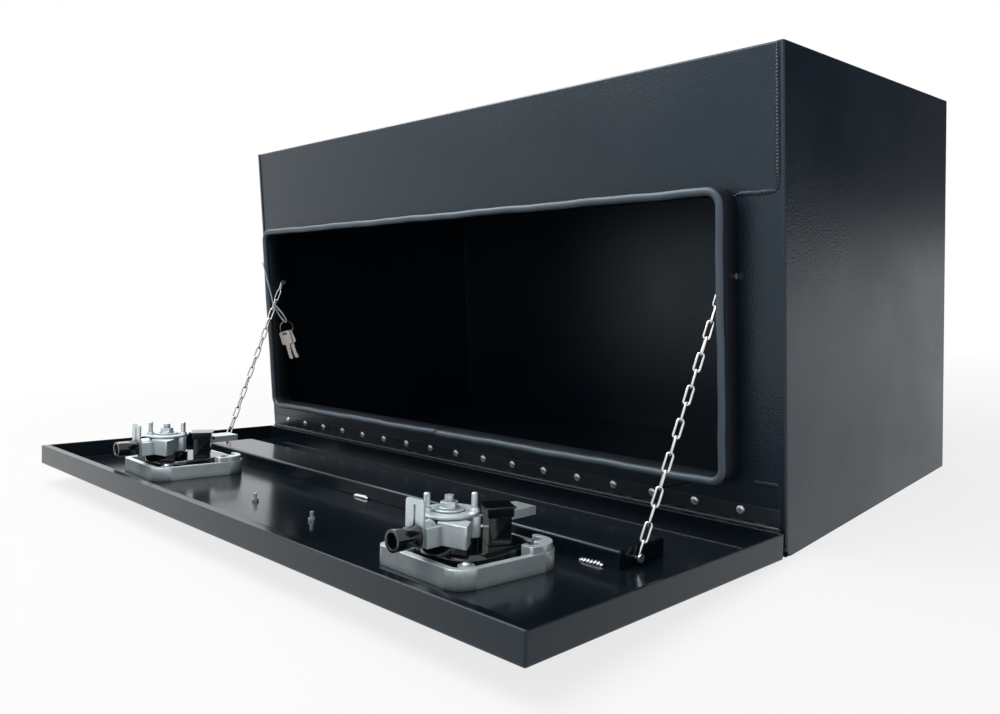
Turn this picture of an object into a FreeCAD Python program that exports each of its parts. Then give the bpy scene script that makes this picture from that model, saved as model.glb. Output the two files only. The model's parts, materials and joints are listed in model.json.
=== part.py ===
import FreeCAD, Part
import math
import os
import re

import Sketcher
from FreeCAD import Placement, Rotation, Vector

# An undertray toolbox: a sheet steel box with a drop-down door, two folding T-handle compression
# latches, a piano hinge, a pinch-on door seal and two stay chains.
# Lengths are in millimetres. X runs across the box, -Y is the front, Z is up, and the origin is
# the middle of the box's bottom face. The door stands open, as its chains hold it.

doc = FreeCAD.newDocument("undertray_toolbox")
sheet = doc.addObject("Spreadsheet::Sheet", "sizes")

SIZES = {
    # Box shell
    "box_width": 1200, "box_depth": 550, "box_height": 600, "gauge": 2, "bend": 3,
    "front_wrap": 8, "back_wrap": 15, "top_return": 20, "corner_cut": 9, "fit_gap": 0.3,
    # Door opening and its lip, measured to the middle of the lip's sheet
    "lip_margin": 67.5, "lip_low": 87, "lip_high": 435.7, "lip_reach": 27, "lip_corner": 24,
    "header_low": 431.7,
    # Door seal
    "seal_width": 9.4, "seal_reach": 33.5, "seal_corner": 20, "seal_edge": 3.4,
    # Hinge
    "pin_height": 33.5, "pin_radius": 1.45, "pin_play": 0.1, "knuckle_radius": 2.8,
    "knuckle_count": 70, "knuckle_gap": 0.4, "leaf_gauge": 1.2, "hinge_margin": 8.5,
    "frame_leaf_top": 56.5, "door_leaf_drop": 26, "leaf_clear": 3.4,
    # Blind rivets of the hinge
    "rivet_count": 17, "rivet_margin": 53.1, "rivet_height": 48.7, "rivet_head": 5.75,
    "rivet_dome": 2.4, "rivet_shank": 2.4, "rivet_hole": 2.5, "rivet_tail": 3.4,
    "rivet_tail_length": 5, "mandrel_hole": 1.2,
    # Door
    "open_angle": 4.7, "door_length": 427.5, "door_rim": 30.9, "skin_drop": 33,
    "edge_return": 12, "door_bend": 2.5,
    # Stiffening channel inside the door, with its distance from the door's hinge edge
    "channel_near": 96, "channel_far": 179, "channel_rise": 21.7, "channel_clear": 37.1,
    "stitch_length": 34, "stitch_leg": 4, "stitch_inset": 41.4,
    # Weld beads on the box front
    "bead_radius": 2.2, "low_bead_length": 36,
    # Stay chains
    "chain_wire": 3, "link_length": 26.8, "link_width": 10.5, "chain_link_count": 17,
    "anchor_side": 9.5, "anchor_front": 4.5, "anchor_height": 335, "hook_reach": 150.8,
    "hook_lift": 9.7, "hook_side": 5, "chain_rivet": 2.1, "chain_rivet_head": 5,
    "chain_rivet_cap": 1.5,
    # Badge: a bare plate outside, its two studs and nuts
    "badge_length": 190, "badge_width": 60, "badge_gauge": 1.5, "badge_reach": 305,
    "stud_spacing": 152, "stud_radius": 2.5, "stud_rise": 12, "stud_nut_across": 8,
    "stud_nut_height": 4,
    # Latch places: middle of the clamp ring on the door, and the spindle ahead of it
    "lock_margin": 236, "lock_reach": 280, "spindle_ahead": 32,
    # Clamp ring
    "ring_left": 76, "ring_right": 69, "ring_front": 76, "ring_back": 68, "ring_bulge": 14,
    "ring_skew": 4, "ring_wall": 8.5, "ring_rise": 21.5, "ring_corner": 12, "ring_nose": 25,
    "ring_heel": 28, "lug_rise": 29, "lug_length": 47, "tab_radius": 9, "tab_depth": 7,
    "dish_gap": 3,
    # Clamp screws
    "near_screw_side": 54, "near_screw_ahead": 53, "lug_screw_side": 62,
    "lug_screw_behind": 36, "heel_screw_side": 62, "heel_screw_behind": 44, "screw_head": 5.2,
    "screw_crown": 3.2, "screw_step": 1.6, "screw_slot": 1.2, "screw_slot_length": 6,
    # Dish through the door, and its flange outside
    "dish_long": 108, "dish_wide": 112, "dish_corner": 34, "dish_wall": 2.5, "dish_rise": 26.5,
    "dish_play": 0.6, "flange_margin": 14, "flange_gauge": 2,
    # Spindle and the cam on it
    "spindle_radius": 6, "spindle_play": 0.1, "thread_radius": 5, "spindle_top": 82.3,
    "boss_radius": 32, "cam_base": 37, "cam_radius": 33, "cam_waist": 28, "cam_rise": 65.5,
    "cam_flange": 3.5, "block_left": 19, "block_right": 58, "block_front": 64,
    "block_skew": 8, "block_back": 37, "block_top": 61.5, "lobe_side": 26, "lobe_ahead": 20,
    "lobe_radius": 8, "saddle_half": 15, "saddle_reach": 80, "strap_length": 16,
    "washer_radius": 17, "washer_gauge": 2.5, "nut_across": 17, "nut_rise": 7.5,
    "nut_flange": 11.1, "nut_flange_rise": 1.6, "prong_radius": 3.5, "prong_top": 86,
    "prong_sink": 8, "collar_radius": 6.5, "collar_rise": 4.5, "prong_left": 11.5,
    "prong_left_ahead": 53.2, "prong_right": 21.7, "prong_right_ahead": 14.7,
    # Sleeve, its screw, and the slotted tab beside it
    "sleeve_radius": 12, "sleeve_bore": 8.6, "sleeve_height": 48.6, "sleeve_side": 9.5,
    "sleeve_tip": 113, "screw_radius": 5.5, "screw_sink": 14, "sleeve_screw_head": 6,
    "tab_half": 15, "tab_side": 5.7, "tab_top": 86.5, "tab_gauge": 2.5, "tab_corner": 5,
    "tab_foot": 38.6, "slot_width": 3.4, "slot_length": 27, "slot_margin": 6,
    # Guard and tail bracket
    "guard_side": 26, "guard_behind": 15.3, "guard_long": 36, "guard_wide": 34, "guard_angle": 28,
    "guard_top": 69, "guard_step": 8, "tail_left": -10, "tail_right": 25, "tail_near": 38,
    "tail_far": 77, "tail_top": 57.4, "tail_low": 47.5,
    # T-handle outside, its pin and the key cylinder
    "fold_depth": 13, "ear_radius": 5, "ear_play": 0.3, "ear_gauge": 5, "ear_length": 13,
    "tongue_half": 5, "stem_half": 12, "stem_gauge": 8, "grip_half": 50, "grip_width": 16,
    "grip_gauge": 9, "grip_reach": 74, "handle_pin_radius": 2, "handle_pin_play": 0.01,
    "hub_radius": 13, "key_radius": 5.5, "key_play": 0.1, "key_behind": 40, "key_slot": 1.4,
    "key_way_half": 3.5, "key_way_depth": 4,
    # Keys, their ring and the tie on the left chain
    "key_ring_radius": 13, "key_ring_wire": 1.8, "key_inset": 18, "key_front": 6,
    "key_ring_height": 243, "key_ring_angle": 81, "key_angle": 36, "key_head_width": 22,
    "key_head_height": 27, "key_gauge": 2, "key_gap": 0.4, "key_blade": 31,
    "key_blade_width": 8.4, "key_corner": 4, "key_tip_corner": 3,
    "key_slot_length": 10, "key_slot_height": 3.8, "tie_width": 2.8,
    "tie_gauge": 1, "tie_half": 4, "tie_link_number": 2, "tie_head": 4, "tie_tip_inset": 20.5,
    "tie_tip_front": 50, "tie_tip_height": 377,
}
for row, (alias, value) in enumerate(SIZES.items(), start=1):
    sheet.set(f"A{row}", alias.replace("_", " "))
    sheet.set(f"B{row}", str(value))
    sheet.setAlias(f"B{row}", alias)
doc.recompute()

# Edges of the box and of the hinge pin, as formulas of the sizes
SIDE = "box_width / 2"
FRONT = "-box_depth / 2"
BACK = "box_depth / 2"
PIN_Y = "-box_depth / 2 - knuckle_radius"
LIP = "(box_width / 2 - lip_margin)"
LIP_IN = f"{LIP} - gauge / 2"
LIP_OUT = f"{LIP} + gauge / 2"
CHANNEL = f"({LIP} - channel_clear)"
LOCK = "(box_width / 2 - lock_margin)"
HINGE = "(box_width - 2 * hinge_margin)"
RIVET_PITCH = f"(({HINGE} - 2 * rivet_margin) / (rivet_count - 1))"
SKIN = "-skin_drop"
PLATE = "gauge - skin_drop"
RIM_TOP = "door_rim - skin_drop"


def tied(text):
    """The formula with each size's name pointing at its cell."""
    return re.sub(r"[a-z_]+", lambda m: "sizes." + m[0] if m[0] in SIZES else m[0], text)


def number(text):
    return float(sheet.evalExpression(tied(text)))


def tie(item, **formulas):
    for path, text in formulas.items():
        item.setExpression(path.replace("__", "."), tied(text))


# Sub-parts, by the name of their file
parts = {}


def keep(item, name):
    item.Label = name
    parts[name] = item
    return item


def sketch(body, plane, start, loops):
    """A sketch on an origin plane of the body, moved along its normal; all corners are tied."""
    origin = next(f for f in body.Origin.OriginFeatures if f.Role == plane)
    drawing = body.newObject("Sketcher::SketchObject", body.Name + "_sketch")
    drawing.AttachmentSupport = (origin, [""])
    drawing.MapMode = "FlatFace"
    tie(drawing, AttachmentOffset__Base__z=start)
    for loop in loops:
        if isinstance(loop, tuple):
            draw_circle(drawing, *loop)
        else:
            draw_corners(drawing, loop)
    return drawing


def place_point(drawing, edge, end, spot):
    for kind, text in zip(("DistanceX", "DistanceY"), spot):
        index = drawing.addConstraint(Sketcher.Constraint(kind, -1, 1, edge, end, number(text)))
        tie(drawing, **{f"Constraints[{index}]": text})


def draw_circle(drawing, across, up, radius):
    centre = Vector(number(across), number(up), 0)
    circle = Part.Circle(centre, Vector(0, 0, 1), number(radius))
    edge = drawing.addGeometry(circle, False)
    index = drawing.addConstraint(Sketcher.Constraint("Radius", edge, number(radius)))
    tie(drawing, **{f"Constraints[{index}]": radius})
    place_point(drawing, edge, 3, (across, up))


def draw_corners(drawing, corners):
    spots = [Vector(number(a), number(b), 0) for a, b in corners]
    first = drawing.GeometryCount
    count = len(corners)
    for i in range(count):
        drawing.addGeometry(Part.LineSegment(spots[i], spots[(i + 1) % count]), False)
    for i in range(count):
        following = first + (i + 1) % count
        drawing.addConstraint(Sketcher.Constraint("Coincident", first + i, 2, following, 1))
    for i, corner in enumerate(corners):
        place_point(drawing, first + i, 1, corner)


def rectangle(left, low, right, high):
    return [(left, low), (right, low), (right, high), (left, high)]


def new_body(name):
    body = doc.addObject("PartDesign::Body", name)
    doc.recompute()
    return keep(body, name)


def pad(body, plane, start, length, *loops):
    feature = body.newObject("PartDesign::Pad", body.Name + "_pad")
    feature.Profile = sketch(body, plane, start, loops)
    tie(feature, Length=length)
    doc.recompute()
    return feature


def pocket(body, plane, start, length, *loops):
    """Cuts from the sketch along its plane's normal, and checks that something went."""
    before = body.Shape.Volume
    feature = body.newObject("PartDesign::Pocket", body.Name + "_pocket")
    feature.Profile = sketch(body, plane, start, loops)
    feature.Reversed = True
    tie(feature, Length=length)
    doc.recompute()
    if body.Shape.Volume >= before:
        raise ValueError(f"{body.Label}: a pocket cuts nothing")
    return feature


def round_edges(body, radius, wanted):
    base = body.Tip
    names = [f"Edge{i}" for i, edge in enumerate(base.Shape.Edges, start=1) if wanted(edge)]
    feature = body.newObject("PartDesign::Fillet", body.Name + "_fillet")
    feature.Base = (base, names)
    tie(feature, Radius=radius)
    doc.recompute()
    return feature


def repeat(body, features, axis, length, count):
    feature = body.newObject("PartDesign::LinearPattern", body.Name + "_row")
    feature.Originals = features
    line = next(f for f in body.Origin.OriginFeatures if f.Role == axis)
    feature.Direction = (line, [""])
    tie(feature, Length=length, Occurrences=count)
    body.Tip = feature
    doc.recompute()
    return feature


def runs_along(edge, axis):
    """True for a straight edge along the axis 0, 1 or 2."""
    if not isinstance(edge.Curve, Part.Line):
        return False
    return abs(abs(edge.tangentAt(edge.FirstParameter)[axis]) - 1) < 1e-6


def close(value, text):
    return abs(value - number(text)) < 0.01


def box(left, front, low, width, depth, height):
    item = doc.addObject("Part::Box", "block")
    tie(item, Length=width, Width=depth, Height=height)
    tie(item, Placement__Base__x=left, Placement__Base__y=front, Placement__Base__z=low)
    return item


AXES = {"x": Rotation(Vector(0, 1, 0), 90), "y": Rotation(Vector(1, 0, 0), -90), "z": Rotation()}


def rod(radius, length, across, along, up, axis="z"):
    """A round bar that starts at the point and runs along the positive axis."""
    item = doc.addObject("Part::Cylinder", "rod")
    item.Placement = Placement(Vector(), AXES[axis])
    tie(item, Radius=radius, Height=length)
    tie(item, Placement__Base__x=across, Placement__Base__y=along, Placement__Base__z=up)
    return item


def nut(across_flats, height, low, across="0", along="0"):
    item = doc.addObject("Part::Prism", "hexagon")
    item.Polygon = 6
    tie(item, Circumradius=f"({across_flats}) / sqrt(3)", Height=height)
    tie(item, Placement__Base__x=across, Placement__Base__y=along, Placement__Base__z=low)
    return item


def joined(*items):
    result = doc.addObject("Part::MultiFuse", "joined")
    result.Shapes = list(items)
    result.Refine = True
    return result


def cut(base, *tools):
    result = doc.addObject("Part::Cut", "cut")
    result.Base = base
    result.Tool = tools[0] if len(tools) == 1 else joined(*tools)
    return result


def group(name, shapes):
    """Several separate solids of one kind under one name."""
    item = doc.addObject("Part::Feature", name)
    item.Shape = Part.makeCompound(shapes)
    return keep(item, name)


def on_door(item, across="0", reach="0", lift="0"):
    """Places an item drawn in the open door's own frame, whose origin is the hinge pin."""
    item.Placement = Placement(Vector(), Rotation(Vector(-1, 0, 0), number("open_angle")))
    turn = "open_angle * 1deg"
    tie(
        item,
        Placement__Base__x=across,
        Placement__Base__y=f"{PIN_Y} - ({reach}) * cos({turn}) + ({lift}) * sin({turn})",
        Placement__Base__z=f"pin_height + ({reach}) * sin({turn}) + ({lift}) * cos({turn})",
        Placement__Rotation__Angle="open_angle",
    )
    return item


def on_lock(item, side):
    """Places an item drawn about the clamp ring's middle on the door plate's inner face."""
    return on_door(item, f"{side} * {LOCK}", "lock_reach + knuckle_radius", PLATE)


# Box shell


def make_side_panel(name, s):
    """One bent sheet: the side, its back flange, and at the front the jamb with the door lip."""
    body = new_body(name)
    profile = [
        (f"{s} * ({SIDE} - front_wrap)", FRONT), (f"{s} * {SIDE}", FRONT),
        (f"{s} * {SIDE}", BACK), (f"{s} * ({SIDE} - back_wrap)", BACK),
        (f"{s} * ({SIDE} - back_wrap)", f"{BACK} - gauge"),
        (f"{s} * ({SIDE} - gauge)", f"{BACK} - gauge"),
        (f"{s} * ({SIDE} - gauge)", f"{FRONT} + gauge"),
        (f"{s} * ({SIDE} - front_wrap)", f"{FRONT} + gauge"),
    ]
    pad(body, "XY_Plane", "0", "box_height", profile)
    round_edges(
        body, "bend", lambda e: runs_along(e, 2) and close(abs(e.CenterOfMass.x), SIDE)
    )
    jamb = rectangle(
        f"{s} * ({LIP_IN})", FRONT, f"{s} * ({SIDE} - front_wrap)", f"{FRONT} + gauge"
    )
    pad(body, "XY_Plane", "lip_low - gauge / 2", "header_low - lip_low + gauge / 2", jamb)
    lip = rectangle(
        f"{s} * ({LIP_IN})", f"{FRONT} - lip_reach", f"{s} * ({LIP_OUT})", FRONT
    )
    pad(
        body, "XY_Plane", "lip_low + lip_corner", "lip_high - lip_low - 2 * lip_corner", lip
    )
    corner = [(FRONT, "0"), (f"{FRONT} + corner_cut", "0"), (FRONT, "corner_cut")]
    pocket(body, "YZ_Plane", "-box_width", "2 * box_width", corner)
    chain_hole = (f"{FRONT} - anchor_front", "anchor_height", "chain_rivet")
    pocket(body, "YZ_Plane", "-box_width", "2 * box_width", chain_hole)


def make_flat_sheets():
    back = new_body("back_panel")
    inside = f"{SIDE} - back_wrap"
    pad(
        back, "XY_Plane", "0", "box_height",
        rectangle(f"-({inside})", f"{BACK} - gauge", inside, BACK),
    )
    floor = new_body("floor_panel")
    inside = f"{SIDE} - gauge"
    pad(
        floor, "XY_Plane", "0", "gauge",
        rectangle(f"-({inside})", f"{FRONT} + gauge", inside, f"{BACK} - gauge"),
    )
    top = new_body("top_panel")
    pad(
        top, "XY_Plane", "box_height - gauge", "gauge",
        rectangle(f"-({inside})", f"{FRONT} + top_return", inside, f"{BACK} - gauge"),
    )


def front_lip(body, low):
    half = f"{LIP} - lip_corner"
    edges = rectangle(f"{FRONT} - lip_reach", low, f"{FRONT} + gauge", f"{low} + gauge")
    pad(body, "YZ_Plane", f"-({half})", f"2 * ({half})", edges)


def make_front_sheets():
    """The panel over the opening and the sill under it, each with its lip turned forward."""
    half = f"{SIDE} - front_wrap"
    upper = new_body("upper_front_panel")
    face = rectangle(FRONT, "header_low", f"{FRONT} + gauge", "box_height")
    pad(upper, "YZ_Plane", f"-({half})", f"2 * ({half})", face)
    shelf = rectangle(
        f"{FRONT} + gauge", "box_height - gauge", f"{FRONT} + top_return", "box_height"
    )
    pad(upper, "YZ_Plane", f"-({SIDE} - gauge)", "box_width - 2 * gauge", shelf)
    round_edges(
        upper, "bend",
        lambda e: runs_along(e, 0) and close(e.CenterOfMass.z, "box_height")
        and close(e.CenterOfMass.y, FRONT),
    )
    front_lip(upper, "lip_high - gauge / 2")

    sill = new_body("front_sill")
    face = rectangle(FRONT, "0", f"{FRONT} + gauge", "lip_low - gauge / 2")
    pad(sill, "YZ_Plane", f"-({half})", f"2 * ({half})", face)
    front_lip(sill, "lip_low - gauge / 2")
    row_of_holes(sill, f"{BACK} - gauge", "gauge")


def row_of_holes(body, start, depth):
    """The holes of the hinge's rivets, through the body's front face."""
    reach = f"(rivet_count - 1) * {RIVET_PITCH}"
    first = (f"-{reach} / 2", "rivet_height", "rivet_hole")
    hole = pocket(body, "XZ_Plane", start, depth, first)
    repeat(body, [hole], "X_Axis", reach, "rivet_count")


def make_seal():
    """Pinch-on strip round the opening, slotted from behind for the four lips."""
    body = new_body("door_seal")
    half = "seal_width / 2"
    back = f"{BACK} + fit_gap"
    outer = rectangle(
        f"-({LIP} + {half})", f"lip_low - {half}", f"{LIP} + {half}", f"lip_high + {half}",
    )
    pad(body, "XZ_Plane", back, "seal_reach - fit_gap", outer)
    round_edges(body, "seal_corner", lambda e: runs_along(e, 1))
    inner = rectangle(
        f"-({LIP} - {half})", f"lip_low + {half}", f"{LIP} - {half}", f"lip_high - {half}",
    )
    pocket(body, "XZ_Plane", back, "seal_reach", inner)
    inside = number(f"{LIP} - {half}")
    round_edges(
        body, "seal_corner - seal_width",
        lambda e: runs_along(e, 1) and close(abs(e.CenterOfMass.x), f"{inside}"),
    )
    front = f"{FRONT} - seal_reach"
    round_edges(body, "seal_edge", lambda e: close(e.CenterOfMass.y, front))
    slot = "(gauge / 2 + fit_gap)"
    side_low = "lip_low + lip_corner - fit_gap"
    side_high = "lip_high - lip_corner + fit_gap"
    level = f"{LIP} - lip_corner + fit_gap"
    slots = [
        rectangle(f"{LIP} - {slot}", side_low, f"{LIP} + {slot}", side_high),
        rectangle(f"-{LIP} - {slot}", side_low, f"-{LIP} + {slot}", side_high),
        rectangle(f"-({level})", f"lip_high - {slot}", level, f"lip_high + {slot}"),
        rectangle(f"-({level})", f"lip_low - {slot}", level, f"lip_low + {slot}"),
    ]
    pocket(body, "XZ_Plane", BACK, "lip_reach + fit_gap", *slots)
    chain_hole = (f"{FRONT} - anchor_front", "anchor_height", "chain_rivet")
    pocket(body, "YZ_Plane", "-box_width", "2 * box_width", chain_hole)


# Hinge


def make_leaf(name, first, plate, tab, centre):
    """A hinge leaf: its strip, and every other knuckle curled round the pin."""
    body = new_body(name)
    half = f"{HINGE} / 2"
    pitch = f"{HINGE} / knuckle_count"
    start = f"-{half} + {pitch} * {first} + knuckle_gap / 2"
    length = f"{pitch} - knuckle_gap"
    pad(body, "YZ_Plane", f"-{half}", HINGE, plate)
    strap = pad(body, "YZ_Plane", start, length, tab)
    bore = (centre[0], centre[1], "pin_radius + pin_play")
    curl = pad(body, "YZ_Plane", start, length, (*centre, "knuckle_radius"), bore)
    repeat(
        body, [strap, curl], "X_Axis", f"({pitch}) * (knuckle_count - 2)", "knuckle_count / 2"
    )
    return body


def make_hinge():
    fixed = make_leaf(
        "hinge_frame_leaf", 0,
        rectangle(f"{FRONT} - leaf_gauge", "pin_height + leaf_clear", FRONT, "frame_leaf_top"),
        rectangle(f"{FRONT} - leaf_gauge", "pin_height", FRONT, "pin_height + leaf_clear"),
        (PIN_Y, "pin_height"),
    )
    row_of_holes(fixed, BACK, "leaf_gauge")
    face = "-knuckle_radius"
    leaf = make_leaf(
        "hinge_door_leaf", 1,
        rectangle(face, "-door_leaf_drop", f"{face} + leaf_gauge", "-leaf_clear"),
        rectangle(face, "-leaf_clear", f"{face} + leaf_gauge", "0"),
        ("0", "0"),
    )
    on_door(leaf)
    pin = rod("pin_radius", HINGE, f"-{HINGE} / 2", PIN_Y, "pin_height", "x")
    keep(pin, "hinge_pin")


def rivet(head, dome, shank, grip, tail, tail_length):
    """A blind rivet along Z: domed head with its mandrel hole above 0, shank and tail below."""
    hole = number("mandrel_hole")
    outline = [
        (hole, dome), (0.62 * head, 0.86 * dome), (0.9 * head, 0.5 * dome), (head, 0),
        (shank, 0), (shank, -grip), (tail, -grip), (tail, -grip - tail_length),
        (0, -grip - tail_length), (0, dome / 2), (hole, dome / 2),
    ]
    corners = [Vector(r, 0, z) for r, z in outline]
    face = Part.Face(Part.makePolygon(corners + corners[:1]))
    return face.revolve(Vector(), Vector(0, 0, 1), 360)


def make_rivets():
    one = rivet(
        number("rivet_head"), number("rivet_dome"), number("rivet_shank"),
        number("leaf_gauge + gauge"), number("rivet_tail"), number("rivet_tail_length"),
    )
    forward = Rotation(Vector(1, 0, 0), 90)
    count = int(number("rivet_count"))
    pitch = number(RIVET_PITCH)
    row = []
    for i in range(count):
        spot = Vector(
            (i - (count - 1) / 2) * pitch, number(f"{FRONT} - leaf_gauge"), number("rivet_height")
        )
        row.append(one.transformed(Placement(spot, forward).toMatrix()))
    group("frame_leaf_rivets", row)


# Door


# Clamp screws, from the ring's middle: across, towards the door's free edge
RING_SCREWS = [
    ("near_screw_side", "near_screw_ahead"), ("lug_screw_side", "-lug_screw_behind"),
    ("-heel_screw_side", "-heel_screw_behind"),
]


def make_door_pan():
    body = new_body("door_pan")
    half = SIDE
    near = "-knuckle_radius"
    far = "-knuckle_radius - door_length"
    outer = rectangle(f"-{half}", far, half, near)
    inner = rectangle(
        f"-{half} + gauge", f"{far} + gauge", f"{half} - gauge", f"{near} - gauge"
    )
    pad(body, "XY_Plane", SKIN, "gauge", outer)
    pad(body, "XY_Plane", PLATE, "door_rim - gauge", outer, inner)
    shelf = rectangle(
        f"-{half} + gauge", f"{far} + gauge", f"{half} - gauge", f"{far} + edge_return"
    )
    pad(body, "XY_Plane", f"{RIM_TOP} - gauge", "gauge", shelf)
    round_edges(
        body, "door_bend",
        lambda e: runs_along(e, 2) and close(abs(e.CenterOfMass.x), half)
        and e.Length > number("gauge"),
    )
    round_edges(body, "door_bend - 1", lambda e: close(e.CenterOfMass.z, SKIN))
    for side in ("-1", "1"):
        middle = f"{side} * {LOCK}"
        reach = "-(lock_reach + knuckle_radius)"
        window = rectangle(
            f"{middle} - dish_long / 2 - dish_play", f"{reach} - dish_wide / 2 - dish_play",
            f"{middle} + dish_long / 2 + dish_play", f"{reach} + dish_wide / 2 + dish_play",
        )
        pocket(body, "XY_Plane", SKIN, "gauge", window)
    wide = number("dish_long / 2 + dish_play")
    lock = number(LOCK)
    round_edges(
        body, "dish_corner + dish_play",
        lambda e: runs_along(e, 2) and e.Length < number("gauge") + 0.01
        and abs(abs(abs(e.CenterOfMass.x) - lock) - wide) < 0.01,
    )
    holes = [
        (f"{side} * stud_spacing / 2", "-(badge_reach + knuckle_radius)", "stud_radius")
        for side in ("-1", "1")
    ]
    for side in ("-1", "1"):
        holes += [
            (f"{side} * {LOCK} + ({x})", f"-(lock_reach + knuckle_radius) - ({ahead})",
             "rivet_hole")
            for x, ahead in RING_SCREWS
        ]
    pocket(body, "XY_Plane", SKIN, "gauge", *holes)
    on_door(body)


def make_channel():
    """Stiffener: a U section, open towards the door plate and capped at both ends."""
    body = new_body("door_channel")
    near = "-(channel_near + knuckle_radius)"
    far = "-(channel_far + knuckle_radius)"
    top = f"{PLATE} + channel_rise"
    profile = [
        (far, PLATE), (far, top), (near, top), (near, PLATE),
        (f"{near} - gauge", PLATE), (f"{near} - gauge", f"{top} - gauge"),
        (f"{far} + gauge", f"{top} - gauge"), (f"{far} + gauge", PLATE),
    ]
    pad(body, "YZ_Plane", f"-{CHANNEL}", f"2 * {CHANNEL}", profile)
    round_edges(
        body, "bend", lambda e: runs_along(e, 0) and close(e.CenterOfMass.z, top)
    )
    on_door(body)
    width = "channel_far - channel_near - 2 * gauge"
    rise = "channel_rise - gauge"
    caps = []
    for side in (-1, 1):
        cap = Part.makeBox(
            number("gauge"), number(width), number(rise),
            Vector(
                side * number(f"{CHANNEL} - gauge / 2") - number("gauge / 2"),
                number(f"{far} + gauge"), number(PLATE),
            ),
        )
        bore = Part.makeCylinder(
            number("chain_rivet"), number("3 * gauge"),
            Vector(
                side * number(f"{CHANNEL} - gauge / 2") - number("1.5 * gauge"),
                -number("hook_reach + knuckle_radius"), number(f"{PLATE} + hook_lift"),
            ),
            Vector(1, 0, 0),
        )
        caps.append(cap.cut(bore))
    on_door(group("channel_end_caps", caps))


def make_stitch_welds():
    leg = number("stitch_leg")
    long = number("stitch_length")
    far = -number("channel_far + knuckle_radius")
    beads = []
    span = number(f"{CHANNEL} - stitch_inset")
    for x in (-span, 0, span):
        corner = [(far, 0), (far - leg, 0), (far - 0.3 * leg, 0.3 * leg), (far, leg)]
        corners = [Vector(x - long / 2, y, number(PLATE) + z) for y, z in corner]
        beads.append(Part.Face(Part.makePolygon(corners + corners[:1])).extrude(Vector(long, 0, 0)))
    on_door(group("stitch_welds", beads))


def make_box_beads():
    """Raised beads on the butt seams between side, upper panel and sill."""
    radius = number("bead_radius")
    face = number(FRONT)
    half = number(f"{SIDE} - front_wrap")
    top = number("box_height - bend")
    seam = number("header_low")
    low = number("lip_low - gauge / 2")
    beads = []
    for side in (-1, 1):
        upright = Part.makeCylinder(
            radius, top - seam - radius, Vector(side * half, face, seam + radius),
            Vector(0, 0, 1), 180,
        )
        upright.rotate(Vector(side * half, face, 0), Vector(0, 0, 1), 180)
        inner = number(f"{LIP} + seal_width / 2 + fit_gap")
        for z, start in ((seam, inner), (low, half - number("low_bead_length"))):
            run = Part.makeCylinder(
                radius, half - radius - start, Vector(start, face, z), Vector(1, 0, 0)
            )
            outside = Part.makeBox(
                half, 2 * radius, 4 * radius, Vector(start - 1, face - 2 * radius, z - 2 * radius)
            )
            run = run.common(outside)
            if side < 0:
                run = run.mirror(Vector(), Vector(1, 0, 0))
            beads.append(run)
        beads.append(upright)
    group("frame_weld_beads", beads)


def make_badge():
    """A bare plate outside, on two studs whose nuts show inside."""
    plate = new_body("badge_plate")
    reach = "-(badge_reach + knuckle_radius)"
    outline = rectangle(
        "-badge_length / 2", f"{reach} - badge_width / 2",
        "badge_length / 2", f"{reach} + badge_width / 2",
    )
    pad(plate, "XY_Plane", f"{SKIN} - badge_gauge", "badge_gauge", outline)
    on_door(plate)
    studs = []
    nuts = []
    flats = number("stud_nut_across")
    rise = Vector(0, 0, number("stud_nut_height"))
    for side in (-1, 1):
        spot = Vector(side * number("stud_spacing / 2"), number(reach), number(SKIN))
        height = number("gauge + stud_rise")
        studs.append(Part.makeCylinder(number("stud_radius - pin_play"), height, spot))
        seat = spot + Vector(0, 0, number("gauge"))
        corner = Vector(flats / math.sqrt(3), 0, 0)
        turns = [Rotation(Vector(0, 0, 1), 60 * i) for i in range(7)]
        hexagon = Part.makePolygon([seat + turn.multVec(corner) for turn in turns])
        bore = Part.makeCylinder(number("stud_radius"), height, spot)
        nuts.append(Part.Face(hexagon).extrude(rise).cut(bore))
    on_door(group("badge_studs", studs))
    on_door(group("badge_nuts", nuts))


# Stay chains


def link():
    """One welded link along X: two half rounds and two straights of one wire."""
    bend = number("(link_width - chain_wire) / 2")
    straight = number("link_length - link_width") / 2
    wire = number("chain_wire") / 2
    pieces = []
    for sign, angle in ((1, -90), (-1, 90)):
        half = Part.makeTorus(bend, wire, Vector(), Vector(0, 0, 1), 0, 360, 180)
        half.rotate(Vector(), Vector(0, 0, 1), angle)
        half.translate(Vector(sign * straight, 0, 0))
        pieces.append(half)
        pieces.append(
            Part.makeCylinder(
                wire, 2 * straight, Vector(-straight, sign * bend, 0), Vector(1, 0, 0)
            )
        )
    return pieces[0].multiFuse(pieces[1:])


def door_point(across, reach, lift):
    """A point of the open door, from its hinge pin, in the box's frame."""
    angle = math.radians(number("open_angle"))
    return Vector(
        across,
        number(PIN_Y) - reach * math.cos(angle) + lift * math.sin(angle),
        number("pin_height") + reach * math.sin(angle) + lift * math.cos(angle),
    )


def chain_ends(side):
    top = Vector(
        side * number(f"{LIP} - anchor_side"), number(f"{FRONT} - anchor_front"),
        number("anchor_height"),
    )
    low = door_point(
        side * number(f"{CHANNEL} + hook_side"), number("hook_reach + knuckle_radius"),
        number(f"{PLATE} + hook_lift"),
    )
    return top, low


def link_middle(side, place):
    """Middle of a link, counted from the top, and the way the chain runs down."""
    top, low = chain_ends(side)
    run = low - top
    end_gap = number("link_length / 2 - chain_wire - chain_rivet")
    pitch = (run.Length - 2 * end_gap) / (number("chain_link_count") - 1)
    run.normalize()
    return top + run * (end_gap + pitch * place), run


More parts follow.
